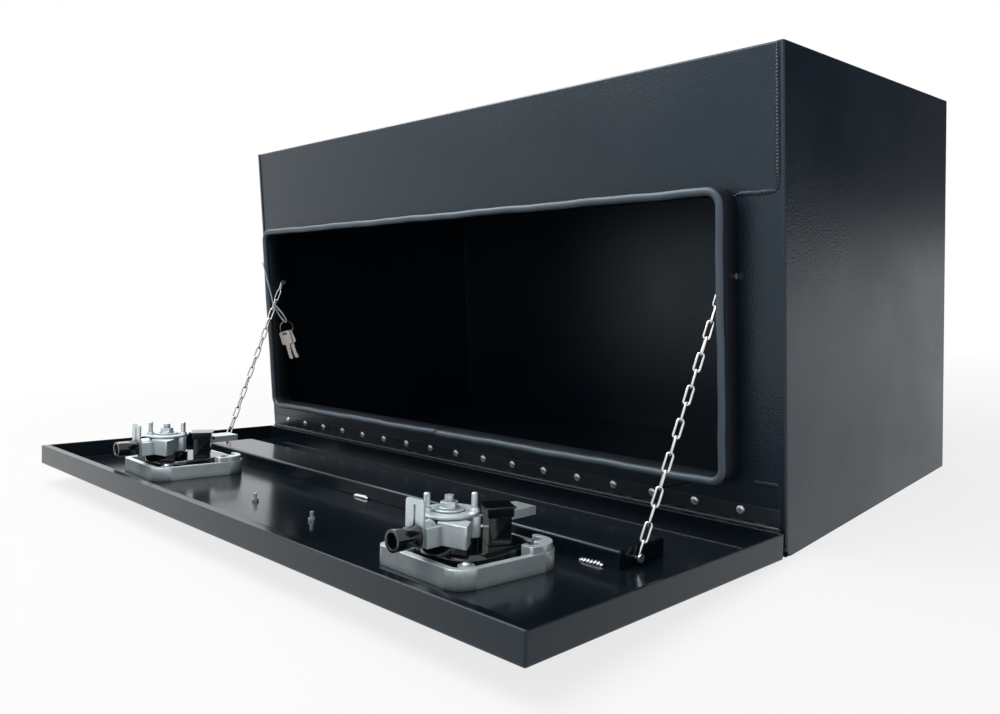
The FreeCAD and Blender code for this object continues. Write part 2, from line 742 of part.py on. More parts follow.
def make_chains():
    one = link()
    for name, side in (("chain_left", -1), ("chain_right", 1)):
        links = []
        for i in range(int(number("chain_link_count"))):
            middle, run = link_middle(side, i)
            turn = Rotation(run, Vector(), Vector(side, 0, 0), "XZY")
            twist = Rotation(Vector(1, 0, 0), 90 * (i % 2))
            links.append(one.transformed(Placement(middle, turn.multiply(twist)).toMatrix()))
        group(name, links)


def make_chain_rivets():
    """Each holds an end link: two in the lip, two in the channel's end caps."""
    radius = number("chain_rivet - pin_play")
    head = number("chain_rivet_head")
    flat = number("chain_rivet_cap")
    frame_side = []
    door_side = []
    for side in (-1, 1):
        out = Vector(side, 0, 0)
        start = Vector(
            side * number(f"{LIP} - anchor_side - chain_wire"),
            number(f"{FRONT} - anchor_front"), number("anchor_height"),
        )
        end = number(f"{LIP} + seal_width / 2 + pin_play")
        shank = Part.makeCylinder(radius, end - abs(start.x), start, out)
        cap = Part.makeCylinder(head, flat, start - out * flat, out)
        tail = Part.makeCylinder(0.7 * head, flat, Vector(side * end, start.y, start.z), out)
        frame_side.append(shank.fuse([cap, tail]))
        inner = Vector(
            side * number(f"{CHANNEL} - 2 * gauge"), -number("hook_reach + knuckle_radius"),
            number(f"{PLATE} + hook_lift"),
        )
        reach = number("2 * gauge + hook_side + chain_wire")
        shank = Part.makeCylinder(radius, reach, inner, out)
        cap = Part.makeCylinder(head, flat, inner + out * reach, out)
        door_side.append(shank.fuse(cap))
    group("chain_frame_rivets", frame_side)
    on_door(group("chain_door_rivets", door_side))


# Latches, drawn about the ring's middle; -Y is towards the door's free edge


def inset(corners, amount):
    """The outline moved inwards, as formulas; every corner moves along both axes."""
    moved = []
    for x, y in corners:
        dx = f"+ ({amount})" if number(x) < 0 else f"- ({amount})"
        dy = f"+ ({amount})" if number(y) < 0 else f"- ({amount})"
        moved.append((f"{x} {dx}", f"{y} {dy}"))
    return moved


RING = [
    ("-ring_left", "-ring_front + ring_skew"), ("ring_right", "-ring_front"),
    ("ring_right + ring_bulge", "ring_back"), ("-ring_left + ring_skew / 2", "ring_back"),
]


def corner_edges(corners, pick, low, high):
    """Upright edges at the picked corners, between two heights."""
    x = number(corners[pick][0])
    y = number(corners[pick][1])

    def wanted(edge):
        middle = edge.CenterOfMass
        beside = abs(middle.x - x) < 0.5 and abs(middle.y - y) < 0.5
        return runs_along(edge, 2) and beside and low < middle.z < high

    return wanted


def rounded_slab(name, corners, radii, rise):
    """A slab of the outline with each upright corner rounded by its own radius."""
    body = doc.addObject("PartDesign::Body", name)
    doc.recompute()
    pad(body, "XY_Plane", "0", rise, corners)
    for i, radius in enumerate(radii):
        round_edges(body, radius, corner_edges(corners, i, 0, number(rise)))
    return body


def make_ring(side_name, side):
    """Die-cast clamp ring with a raised lug at one corner and three screw bosses inside."""
    radii = ("ring_corner", "ring_nose", "ring_heel", "ring_corner")
    outer = rounded_slab("ring_outer", RING, radii, "ring_rise")
    inner_radii = [f"max({radius} - ring_wall; bend)" for radius in radii]
    core = rounded_slab("ring_core", inset(RING, "ring_wall"), inner_radii, "ring_rise")
    right = "ring_right + ring_bulge"
    beside = "dish_long / 2 + dish_gap"
    behind = "dish_wide / 2 + dish_gap"
    lug_outline = [
        (f"{right} - lug_length", "ring_back - 1"), (f"{right} - 1", "ring_back - 1"),
        (f"{right} - ring_wall", "ring_back - lug_length"), (beside, "ring_back - lug_length"),
        (beside, behind), (f"{right} - lug_length", behind),
    ]
    radii = ("bend", "ring_heel - 1", "bend", "bend", "bend", "bend")
    lug = rounded_slab("ring_lug", lug_outline, radii, "lug_rise")
    bosses = [
        rod("tab_radius", "tab_depth", x, f"-({ahead})", "ring_rise - tab_depth")
        for x, ahead in RING_SCREWS
    ]
    bores = [
        rod("rivet_hole", "lug_rise", x, f"-({ahead})", "0") for x, ahead in RING_SCREWS
    ]
    wells = [
        rod("screw_head + gauge", "lug_rise", x, f"-({ahead})", "ring_rise")
        for x, ahead in RING_SCREWS
    ]
    ring = cut(joined(cut(outer, core), lug, *bosses), *bores, *wells)
    on_lock(keep(ring, f"lock_ring_{side_name}"), side)


def dish_slab(name, margin, radius, low, rise):
    """A rounded slab of the dish's outline, grown by the margin, from one height up."""
    half_x = f"(dish_long / 2 + ({margin}))"
    half_y = f"(dish_wide / 2 + ({margin}))"
    corners = rectangle(f"-{half_x}", f"-{half_y}", half_x, half_y)
    slab = rounded_slab(name, corners, (radius,) * 4, rise)
    tie(slab, Placement__Base__z=low)
    return slab


def make_dish(side_name, side):
    """The latch's pan: it fills the door's window, with its flange on the outer skin."""
    low = "-gauge - flange_gauge"
    rise = "dish_rise + gauge + flange_gauge"
    shell = dish_slab("dish_shell", "0", "dish_corner", low, rise)
    round_edges(shell, "2 * bend", lambda e: close(e.CenterOfMass.z, rise))
    core = dish_slab(
        "dish_core", "-dish_wall", "dish_corner - dish_wall", f"{low} - 1", f"{rise} - dish_wall + 1"
    )
    flange = dish_slab("dish_flange", "flange_margin", "dish_corner", low, "flange_gauge")
    y = "-spindle_ahead"
    column = rod("hub_radius", f"dish_rise - ({low}) - 1", "0", y, low)
    boss = rod(
        "boss_radius", "cam_base - fit_gap - dish_rise + dish_wall", "0", y, "dish_rise - dish_wall"
    )
    bores = [rod("spindle_radius + spindle_play", "2 * cam_base", "0", y, f"{low} - 1")]
    bores += [
        rod("rivet_hole", "2 * flange_gauge", x, f"-({ahead})", f"{low} - 1")
        for x, ahead in RING_SCREWS
    ]
    dish = cut(joined(cut(joined(shell, flange), core), column, boss), *bores)
    on_lock(keep(dish, f"lock_dish_{side_name}"), side)


def make_screws(side_name, side):
    heads = []
    low = number("-gauge - flange_gauge")
    top = number("ring_rise")
    wide = number("screw_head")
    step = number("screw_step")
    slot = number("screw_slot")
    length = number("screw_slot_length")
    for x, ahead in RING_SCREWS:
        spot = Vector(number(x), -number(ahead), top)
        shank = Part.makeCylinder(
            number("rivet_hole - pin_play"), top - low, spot - Vector(0, 0, top - low)
        )
        head = Part.makeCylinder(wide, step, spot)
        crown = Part.makeCone(wide, number("screw_crown"), step, spot + Vector(0, 0, step))
        recess = Part.makeBox(
            slot, length, step, spot + Vector(-slot / 2, -length / 2, 1.25 * step)
        )
        heads.append(shank.fuse([head, crown]).cut(recess))
    on_lock(group(f"lock_screws_{side_name}", heads), side)


def make_spindle(side_name, side):
    """Turns in the dish's boss; its flat tongue outside carries the T-handle's pin."""
    y = "-spindle_ahead"
    outside = "-gauge - flange_gauge - fit_gap"
    shaft = rod("spindle_radius", f"cam_rise - ({outside})", "0", y, outside)
    thread = rod("thread_radius", "spindle_top - cam_rise", "0", y, "cam_rise")
    low = "-gauge - flange_gauge - fold_depth"
    tongue = box(
        "-tongue_half", f"{y} - ear_radius", low, "2 * tongue_half", "2 * ear_radius",
        f"{outside} - ({low}) + 0.1",
    )
    eye = rod(
        "handle_pin_radius + pin_play", "4 * tongue_half", "-2 * tongue_half", y,
        f"{low} + ear_radius", "x",
    )
    on_lock(keep(cut(joined(shaft, thread, tongue), eye), f"spindle_{side_name}"), side)


# Upright prongs for the locking rods: across, and towards the door's free edge
PRONGS = [("-prong_left", "prong_left_ahead"), ("prong_right", "prong_right_ahead")]


def make_cam(side_name, side):
    """Die-cast cam: a round deck on a waist, the block on its front and the sleeve's saddle."""
    y = "-spindle_ahead"
    deck = rod("cam_radius", "cam_flange", "0", y, "cam_rise - cam_flange")
    waist = rod("cam_waist", "cam_rise - cam_base", "0", y, "cam_base")
    block = doc.addObject("PartDesign::Body", "cam_block")
    doc.recompute()
    outline = [
        ("block_left", "-block_front"), ("block_right", "-(block_front - block_skew)"),
        ("block_right - 2 * block_skew", "-block_back"), ("block_left", "-block_back"),
    ]
    pad(block, "XY_Plane", "cam_base + 1", "block_top - cam_base - 1", outline)
    round_edges(block, "bend / 2", lambda e: runs_along(e, 2))
    lobe = rod(
        "lobe_radius", "cam_rise - cam_flange - cam_base - bend", "lobe_side", "-lobe_ahead",
        "cam_base + bend",
    )
    saddle = box(
        "sleeve_side - saddle_half", "-saddle_reach", "cam_base", "2 * saddle_half",
        "saddle_reach - spindle_ahead", "block_top - cam_base - 4",
    )
    strap = rod(
        "sleeve_radius + gauge", "strap_length", "sleeve_side", "-saddle_reach",
        "sleeve_height", "y",
    )
    bore = rod("spindle_radius + fit_gap / 3", "cam_rise", "0", y, "0")
    holes = [
        rod("prong_radius - 1", "cam_rise", x, f"-({ahead})", "cam_rise - prong_sink - 1")
        for x, ahead in PRONGS
    ]
    body = cut(joined(deck, waist, block, lobe, saddle, strap), bore, *holes)
    on_lock(keep(body, f"cam_{side_name}"), side)


def make_cam_hardware(side_name, side):
    y = "-spindle_ahead"
    washer = cut(
        rod("washer_radius", "washer_gauge", "0", y, "cam_rise"),
        rod("thread_radius + pin_play", "washer_gauge", "0", y, "cam_rise"),
    )
    on_lock(keep(washer, f"cam_washer_{side_name}"), side)
    hexagon = nut("nut_across", "nut_rise", "cam_rise + washer_gauge", "0", y)
    low = rod("nut_flange", "nut_flange_rise", "0", y, "cam_rise + washer_gauge")
    hole = rod("thread_radius + pin_play", "nut_rise", "0", y, "cam_rise + washer_gauge")
    on_lock(keep(cut(joined(hexagon, low), hole), f"cam_nut_{side_name}"), side)
    prongs = []
    for x, ahead in PRONGS:
        spot = Vector(number(x), -number(ahead), number("cam_rise"))
        rise = number("prong_top - cam_rise")
        stem = Part.makeCylinder(number("prong_radius"), rise - 1, spot)
        tip = Part.makeCone(
            number("prong_radius"), number("prong_radius - 1"), 1, spot + Vector(0, 0, rise - 1)
        )
        collar = Part.makeCone(
            number("collar_radius"), number("prong_radius + 1"), number("collar_rise"), spot
        )
        sink = number("prong_sink")
        shank = Part.makeCylinder(number("prong_radius - 1 - pin_play"), sink, spot - Vector(0, 0, sink))
        prongs.append(stem.fuse([tip, collar, shank]))
    on_lock(group(f"rod_prongs_{side_name}", prongs), side)


def make_sleeve(side_name, side):
    """Open black sleeve on the saddle, with the screw that holds it down its bore."""
    start = "-sleeve_tip"
    length = "sleeve_tip - saddle_reach - tab_gauge"
    tube = cut(
        rod("sleeve_radius", length, "sleeve_side", start, "sleeve_height", "y"),
        rod("sleeve_bore", length, "sleeve_side", start, "sleeve_height", "y"),
    )
    on_lock(keep(tube, f"roller_sleeve_{side_name}"), side)
    screw = joined(
        rod("screw_radius + gauge", "sleeve_screw_head", "sleeve_side", f"{start} + screw_sink",
            "sleeve_height", "y"),
        rod("screw_radius", f"{length} - screw_sink", "sleeve_side", f"{start} + screw_sink",
            "sleeve_height", "y"),
    )
    on_lock(keep(screw, f"sleeve_screw_{side_name}"), side)
    tab = new_body(f"slotted_tab_{side_name}")
    plate = rectangle("tab_side - tab_half", "tab_foot", "tab_side + tab_half", "tab_top")
    slot = rectangle(
        "tab_side - slot_width / 2", "tab_top - slot_margin - slot_length",
        "tab_side + slot_width / 2", "tab_top - slot_margin",
    )
    pad(tab, "XZ_Plane", "saddle_reach", "tab_gauge", plate, slot)
    round_edges(
        tab, "tab_corner", lambda e: runs_along(e, 1) and close(e.CenterOfMass.z, "tab_top")
    )
    on_lock(tab, side)


def make_guard(side_name, side):
    """Fixed black guard behind the cam, and the bright tail bracket under its roof."""
    turn = "guard_angle * 1deg"

    def turned(low, length, width, rise):
        """A block about the guard's own middle, turned with it."""
        block = doc.addObject("Part::Box", "guard_block")
        block.Placement = Placement(Vector(), Rotation(Vector(0, 0, -1), number("guard_angle")))
        across = f"({length}) / 2 * cos({turn}) + ({width}) / 2 * sin({turn})"
        along = f"({width}) / 2 * cos({turn}) - ({length}) / 2 * sin({turn})"
        tie(
            block, Length=length, Width=width, Height=rise,
            Placement__Base__x=f"guard_side - ({across})",
            Placement__Base__y=f"guard_behind - ({along})",
            Placement__Base__z=low, Placement__Rotation__Angle="guard_angle",
        )
        return block

    roof = turned("guard_top - gauge", "guard_long", "guard_wide", "gauge")
    collar = turned(
        "tail_top + fit_gap", "guard_long - guard_step / 2", "guard_wide - guard_step / 2",
        "guard_top - gauge - tail_top - fit_gap",
    )
    post = turned(
        "dish_rise", "guard_long - guard_step", "guard_wide - guard_step",
        "guard_top - gauge - dish_rise",
    )
    on_lock(keep(joined(roof, collar, post), f"lock_guard_{side_name}"), side)
    width = "tail_right - tail_left"
    length = "tail_far - tail_near"
    flat = box("tail_left", "tail_near", "tail_top - gauge", width, length, "gauge")
    wall = box(
        "tail_right - gauge", "tail_near", "tail_low", "gauge", length, "tail_top - tail_low"
    )
    arm = box(
        "tail_right - 3 * gauge", "tail_near - guard_step", "tail_low",
        "3 * gauge", "guard_step", "2 * gauge",
    )
    beside = turned(
        "dish_rise", "guard_long - guard_step", "guard_wide - guard_step",
        "guard_top - gauge - dish_rise",
    )
    on_lock(keep(cut(joined(flat, wall, arm), beside), f"tail_bracket_{side_name}"), side)


def make_handle(side_name, side):
    """Outside: the folding T-handle, its pin, and the key cylinder in its stem."""
    y = "-spindle_ahead"
    low = "-gauge - flange_gauge - fold_depth"
    centre = f"{low} + ear_radius"
    inner = "tongue_half + ear_play"
    ears = []
    for start in (f"-({inner}) - ear_gauge", inner):
        ears.append(rod("ear_radius", "ear_gauge", start, y, centre, "x"))
        ears.append(box(start, y, low, "ear_gauge", "ear_length", "stem_gauge"))
    stem = box(
        "-stem_half", f"{y} + ear_length - 2 * gauge", low, "2 * stem_half",
        "grip_reach - ear_length + 2 * gauge", "stem_gauge",
    )
    grip = box(
        "-grip_half", f"{y} + grip_reach - grip_width", low, "2 * grip_half", "grip_width",
        "grip_gauge",
    )
    eye = rod(
        "handle_pin_radius + handle_pin_play", "2 * grip_half", "-grip_half", y, centre, "x"
    )
    key_way = rod(
        "key_radius + key_play", "2 * grip_gauge", "0", f"{y} + key_behind", f"{low} - 1"
    )
    body = cut(joined(*ears, stem, grip), eye, key_way)
    on_lock(keep(body, f"t_handle_{side_name}"), side)
    pin = new_body(f"handle_pin_{side_name}")
    half = "(tongue_half + ear_play + ear_gauge)"
    pad(pin, "YZ_Plane", f"-{half}", f"2 * {half}", (y, centre, "handle_pin_radius"))
    on_lock(pin, side)
    plug = rod("key_radius", "stem_gauge", "0", f"{y} + key_behind", low)
    way = box(
        "-key_slot / 2", f"{y} + key_behind - key_way_half", low, "key_slot",
        "2 * key_way_half", "key_way_depth",
    )
    on_lock(keep(cut(plug, way), f"key_cylinder_{side_name}"), side)


# Keys on the left chain


def make_keys():
    """Two keys on a ring that hangs in the tie, at the left of the opening."""
    centre = Vector(
        -number(f"{LIP} - key_inset"), number(f"{FRONT} - key_front"), number("key_ring_height")
    )
    radius = number("key_ring_radius")
    upright = Vector(0, 0, 1)
    ring = Part.makeTorus(radius, number("key_ring_wire") / 2, Vector(), Vector(0, 1, 0))
    ring.rotate(Vector(), upright, number("key_ring_angle"))
    group("key_ring", [ring.translated(centre)])
    gauge = number("key_gauge")
    step = (gauge + number("key_gap")) / 2
    keys = []
    for lean, across, along in ((-13, -3.5, -step), (-21, 0.8, step)):
        key = one_key(gauge)
        key.rotate(Vector(), Vector(0, 1, 0), lean)
        key.translate(Vector(across, along, 0))
        key.rotate(Vector(), upright, number("key_angle"))
        keys.append(key.translated(centre - upright * radius))
    group("keys", keys)


def one_key(gauge):
    """A key seen from the front, hanging from the middle of its slot."""
    def slab(width, height, top, corner):
        block = Part.makeBox(width, gauge, height, Vector(-width / 2, -gauge / 2, top - height))
        edges = [edge for edge in block.Edges if runs_along(edge, 1)]
        return block.makeFillet(corner, edges)

    slot = number("key_slot_height")
    head_height = number("key_head_height")
    blade_width = number("key_blade_width")
    corner = number("key_corner")
    head = slab(number("key_head_width"), head_height, 1.5 * slot, corner)
    blade_top = 1.5 * slot - head_height + corner
    blade = slab(blade_width, number("key_blade") + corner, blade_top, number("key_tip_corner"))
    hole = slab(number("key_slot_length"), slot, slot / 2, slot / 2 - 0.1)
    return head.fuse(blade).cut(hole)


def make_tie():
    """Cable tie: its loop runs through a chain link and the key ring, and its tail stands up."""
    thick = number("tie_gauge")
    wide = number("tie_width")
    half = number("tie_half")
    size = number("tie_head")
    top, run = link_middle(-1, int(number("tie_link_number")))
    low = Vector(
        -number(f"{LIP} - key_inset"), number(f"{FRONT} - key_front"),
        number("key_ring_height + key_ring_radius - key_ring_wire / 2 - tie_gauge - 2 * fit_gap"),
    )
    across = Rotation(Vector(0, 0, 1), number("key_angle")).multVec(Vector(1, 0, 0))
    turn = Rotation(top - low, across, Vector(), "XYZ")
    long = (top - low).Length

    def stadium(grown):
        radius = half + grown
        block = Part.makeBox(long - 2 * half, 2 * radius, wide, Vector(half, -radius, -wide / 2))
        ends = [
            Part.makeCylinder(radius, wide, Vector(x, 0, -wide / 2)) for x in (half, long - half)
        ]
        return block.fuse(ends)

    head = Part.makeBox(size, size, size, Vector(long - 2.2 * size, -half - size, -size / 2))
    loop = stadium(thick).cut(stadium(0)).fuse(head)
    place = Placement(low, turn)
    start = place.multVec(Vector(long - 1.7 * size, -half - size / 2, 0))
    tip = Vector(
        -number(f"{LIP} - tie_tip_inset"), number(f"{FRONT} - tie_tip_front"), number("tie_tip_height")
    )
    tail = Part.makeBox((tip - start).Length, thick, wide, Vector(0, -thick / 2, -wide / 2))
    facing = Rotation(tip - start, across, Vector(), "XYZ")
    tail = tail.transformed(Placement(start, facing).toMatrix())
    group("cable_tie", [loop.transformed(place.toMatrix()).fuse(tail)])


make_side_panel("side_panel_right", 1)
make_side_panel("side_panel_left", -1)
make_flat_sheets()
make_front_sheets()
make_seal()
make_hinge()
make_rivets()
make_door_pan()
make_channel()
make_stitch_welds()
make_box_beads()
make_badge()
make_chains()
make_chain_rivets()
for side_name, side in (("left", -1), ("right", 1)):
    make_ring(side_name, side)
    make_dish(side_name, side)
    make_screws(side_name, side)
    make_spindle(side_name, side)
    make_cam(side_name, side)
    make_cam_hardware(side_name, side)
    make_sleeve(side_name, side)
    make_guard(side_name, side)
    make_handle(side_name, side)
make_keys()
make_tie()
doc.recompute()

for item in doc.Objects:
    if "Invalid" in item.State or "Error" in item.State:
        raise ValueError(f"{item.Label} failed: {item.State}")
for name, item in parts.items():
    if item.Shape.isNull() or not item.Shape.isValid() or not item.Shape.Solids:
        raise ValueError(f"{name} has no valid solid")

os.makedirs("parts", exist_ok=True)
for name, item in parts.items():
    item.Shape.exportStep(f"parts/{name}.step")
    size = item.Shape.BoundBox
    print(
        f"{name}: {len(item.Shape.Solids)} solids, {item.Shape.Volume / 1000:.1f} cm3, "
        f"x {size.XMin:.1f}..{size.XMax:.1f} y {size.YMin:.1f}..{size.YMax:.1f} "
        f"z {size.ZMin:.1f}..{size.ZMax:.1f}"
    )
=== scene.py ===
# %% [markdown]
# # An undertray toolbox, dressed in Blender
# The box, its door, hinge and latches come from the CAD model as fixed meshes. This script gives
# them their finishes, and builds the pieces that CAD keeps plain: the rubber seal, the chains,
# the weld beads, the keys and the cable tie. Lengths are metres. X runs across the box, -Y is
# the front and Z is up, with the origin in the middle of the box's bottom face.

# %% Load the frame
import json
import math

import bpy
from mathutils import Matrix, Vector
from mathutils.geometry import tessellate_polygon


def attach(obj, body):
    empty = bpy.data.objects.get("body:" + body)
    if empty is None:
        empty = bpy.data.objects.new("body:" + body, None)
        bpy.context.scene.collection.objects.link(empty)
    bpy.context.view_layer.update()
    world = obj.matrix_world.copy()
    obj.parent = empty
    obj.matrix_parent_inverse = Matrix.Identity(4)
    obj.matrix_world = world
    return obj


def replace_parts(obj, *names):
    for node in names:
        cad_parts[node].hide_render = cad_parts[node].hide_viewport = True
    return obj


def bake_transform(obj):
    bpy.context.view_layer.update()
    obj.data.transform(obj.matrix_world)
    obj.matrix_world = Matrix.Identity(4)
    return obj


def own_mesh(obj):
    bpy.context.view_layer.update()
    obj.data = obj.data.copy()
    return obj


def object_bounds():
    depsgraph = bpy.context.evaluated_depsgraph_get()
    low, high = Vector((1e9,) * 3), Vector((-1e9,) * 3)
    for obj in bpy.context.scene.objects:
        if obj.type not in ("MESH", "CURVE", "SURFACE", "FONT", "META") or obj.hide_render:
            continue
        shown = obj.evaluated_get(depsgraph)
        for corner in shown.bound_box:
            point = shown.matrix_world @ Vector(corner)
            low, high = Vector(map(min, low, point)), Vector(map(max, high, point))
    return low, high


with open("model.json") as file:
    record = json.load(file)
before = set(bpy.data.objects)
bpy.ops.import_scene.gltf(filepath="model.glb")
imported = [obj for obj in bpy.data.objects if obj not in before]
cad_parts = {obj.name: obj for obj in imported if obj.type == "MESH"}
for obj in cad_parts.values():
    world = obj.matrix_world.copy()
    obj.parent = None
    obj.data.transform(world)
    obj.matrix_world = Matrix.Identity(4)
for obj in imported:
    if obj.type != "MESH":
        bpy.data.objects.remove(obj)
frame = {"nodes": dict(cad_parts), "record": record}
cad_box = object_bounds()
print("CAD box:", [tuple(round(c, 4) for c in corner) for corner in cad_box])

# %% [markdown]
# The door stands open at a small angle. Everything on it was drawn in the door's own frame, with
# the origin on the hinge pin, -Y out along the plate and Z off the plate. One matrix takes that
# frame to the box's frame, so the door's pieces below can use simple numbers.

# %% The open door's frame
OPEN_ANGLE = math.radians(4.7)
PIN = Vector((0, -0.2778, 0.0335))
DOOR = Matrix.Translation(PIN) @ Matrix.Rotation(-OPEN_ANGLE, 4, "X")
PLATE_LIFT = -0.031
FREE_EDGE = 0.4303


def on_door(across, reach, lift):
    """A point of the open door in the box's frame; reach is counted from the hinge pin."""
    return DOOR @ Vector((across, -reach, lift))


print("Free edge of the door:", on_door(0, FREE_EDGE, 0))

# %% [markdown]
# Every finish is one Principled shader. Its detail could be painted on images, but noise in the
# shader has no seams and no limit of sharpness, so it is made there. What changes over a surface
# comes from two small node groups that several finishes share: one for sprayed or moulded skins,
# one for bare metal. Each group puts out a colour, a roughness and a height, and each material
# gives it its own numbers.

# %% Helpers for node trees
def add_node(tree, kind, **values):
    """A node with its settings; a name that is none of its settings is one of its inputs."""
    made = tree.nodes.new(kind)
    for name, value in values.items():
        if hasattr(made, name):
            setattr(made, name, value)
        else:
            made.inputs[name.replace("_", " ")].default_value = value
    return made


def new_group(name, inputs, outputs):
    """An empty shader node group, with its named sockets, and its input and output nodes."""
    group = bpy.data.node_groups.new(name, "ShaderNodeTree")
    for label, kind, value in inputs:
        socket = group.interface.new_socket(label, in_out="INPUT", socket_type=kind)
        socket.default_value = value
    for label, kind in outputs:
        group.interface.new_socket(label, in_out="OUTPUT", socket_type=kind)
    return group, group.nodes.new("NodeGroupInput"), group.nodes.new("NodeGroupOutput")


NUMBER = "NodeSocketFloat"
COLOUR = "NodeSocketColor"


def math_node(tree, operation, first, second):
    """Arithmetic on two sockets or numbers; gives the output socket."""
    made = tree.nodes.new("ShaderNodeMath")
    made.operation = operation
    for socket, value in zip(made.inputs, (first, second)):
        if isinstance(value, bpy.types.NodeSocket):
            tree.links.new(value, socket)
        else:
            socket.default_value = value
    return made.outputs[0]


NOISE_ROUGHNESS = 0.55


def noise(tree, vector, scale, detail, contrast=None):
    """Noise at a scale given by a number or a socket, with an optional contrast range."""
    made = add_node(tree, "ShaderNodeTexNoise", Detail=detail, Roughness=NOISE_ROUGHNESS)
    tree.links.new(vector, made.inputs["Vector"])
    if isinstance(scale, bpy.types.NodeSocket):
        tree.links.new(scale, made.inputs["Scale"])
    else:
        made.inputs["Scale"].default_value = scale
    if contrast is None:
        return made.outputs["Fac"]
    spread = tree.nodes.new("ShaderNodeMapRange")
    spread.inputs["From Min"].default_value = contrast[0]
    spread.inputs["From Max"].default_value = contrast[1]
    tree.links.new(made.outputs["Fac"], spread.inputs["Value"])
    return spread.outputs["Result"]


def blend_colours(tree, share, first, second):
    """Two colour sockets mixed by a share; gives the output socket."""
    mix = add_node(tree, "ShaderNodeMix", data_type="RGBA")
    tree.links.new(share, mix.inputs["Factor"])
    tones = [socket for socket in mix.inputs if socket.type == "RGBA"]
    tree.links.new(first, tones[0])
    tree.links.new(second, tones[1])
    return next(socket for socket in mix.outputs if socket.type == "RGBA")


def vary(tree, middle, wave, amount):
    """A number that goes up and down with a noise around its middle value."""
    away = math_node(tree, "MULTIPLY", math_node(tree, "SUBTRACT", wave, 0.5), amount)
    return math_node(tree, "ADD", middle, away)


# %% [markdown]
# Powder coat isn't smooth: it melts into a fine orange peel, and its gloss drifts a little from
# place to place. A rubber or plastic skin behaves the same way with other numbers. The group
# mixes two tones by a large soft noise and adds the peel as a height for bumps.

# %% The sprayed or moulded skin
DRIFT_SCALE = 5.0
DRIFT_RANGE = (0.35, 0.7)
DRIFT_SHARE = 0.7
SPECK_SCALE = 900.0
SPECK_RANGE = (0.62, 0.8)


def make_skin_group():
    group, start, end = new_group(
        "sprayed_skin",
        [("Tone", COLOUR, (0.02, 0.02, 0.02, 1)), ("Dusty Tone", COLOUR, (0.05, 0.05, 0.05, 1)),
         ("Dust", NUMBER, 0.2), ("Roughness", NUMBER, 0.4), ("Gloss Drift", NUMBER, 0.08),
         ("Peel Size", NUMBER, 400.0)],
        [("Color", COLOUR), ("Roughness", NUMBER), ("Height", NUMBER)],
    )
    place = group.nodes.new("ShaderNodeTexCoord").outputs["Object"]
    drift = noise(group, place, DRIFT_SCALE, 4.0, DRIFT_RANGE)
    specks = noise(group, place, SPECK_SCALE, 2.0, SPECK_RANGE)
    peel = noise(group, place, start.outputs["Peel Size"], 2.0)
    cloud = math_node(group, "MULTIPLY", drift, DRIFT_SHARE)
    shade = math_node(group, "ADD", cloud, specks)
    share = math_node(group, "MULTIPLY", shade, start.outputs["Dust"])
    colour = blend_colours(group, share, start.outputs["Tone"], start.outputs["Dusty Tone"])
    gloss = vary(group, start.outputs["Roughness"], drift, start.outputs["Gloss Drift"])
    group.links.new(colour, end.inputs["Color"])
    group.links.new(gloss, end.inputs["Roughness"])
    group.links.new(peel, end.inputs["Height"])
    return group


sprayed_skin = make_skin_group()
print("Node group:", sprayed_skin.name, [i.name for i in sprayed_skin.interface.items_tree])

# %% [markdown]
# Bare metal shows how it was made. Drawn wire and rolled sheet have fine lines one way, a raw
# die casting has an even frosty grain, and both carry faint stains. The group stretches its
# noise along one direction by a "Draw" vector: equal numbers give the even grain of a casting.

# %% The bare metal
STAIN_SCALE = 60.0
STAIN_RANGE = (0.45, 0.75)


def make_metal_group():
    group, start, end = new_group(
        "bare_metal",
        [("Tone", COLOUR, (0.6, 0.6, 0.6, 1)), ("Stain", COLOUR, (0.4, 0.4, 0.4, 1)),
         ("Stain Amount", NUMBER, 0.3), ("Roughness", NUMBER, 0.3), ("Grain Depth", NUMBER, 0.1),
         ("Draw", "NodeSocketVector", (400.0, 400.0, 400.0))],
        [("Color", COLOUR), ("Roughness", NUMBER), ("Height", NUMBER)],
    )
    place = group.nodes.new("ShaderNodeTexCoord").outputs["Object"]
    drawn = group.nodes.new("ShaderNodeVectorMath")
    drawn.operation = "MULTIPLY"
    group.links.new(place, drawn.inputs[0])
    group.links.new(start.outputs["Draw"], drawn.inputs[1])
    grain = noise(group, drawn.outputs[0], 1.0, 3.0)
    stains = noise(group, place, STAIN_SCALE, 5.0, STAIN_RANGE)
    share = math_node(group, "MULTIPLY", stains, start.outputs["Stain Amount"])
    colour = blend_colours(group, share, start.outputs["Tone"], start.outputs["Stain"])
    gloss = vary(group, start.outputs["Roughness"], grain, start.outputs["Grain Depth"])
    group.links.new(colour, end.inputs["Color"])
    group.links.new(gloss, end.inputs["Roughness"])
    group.links.new(grain, end.inputs["Height"])
    return group


bare_metal = make_metal_group()
print("Node group:", bare_metal.name)

# %% [markdown]
# A finish is then a short list of numbers. The bump's distance is the real depth of the peel or
# grain in metres, so it stays right at any zoom. Black paint is set by a very dark, slightly
# blue colour, and what shows on it is mostly its gloss, which a cool specular tint colours.

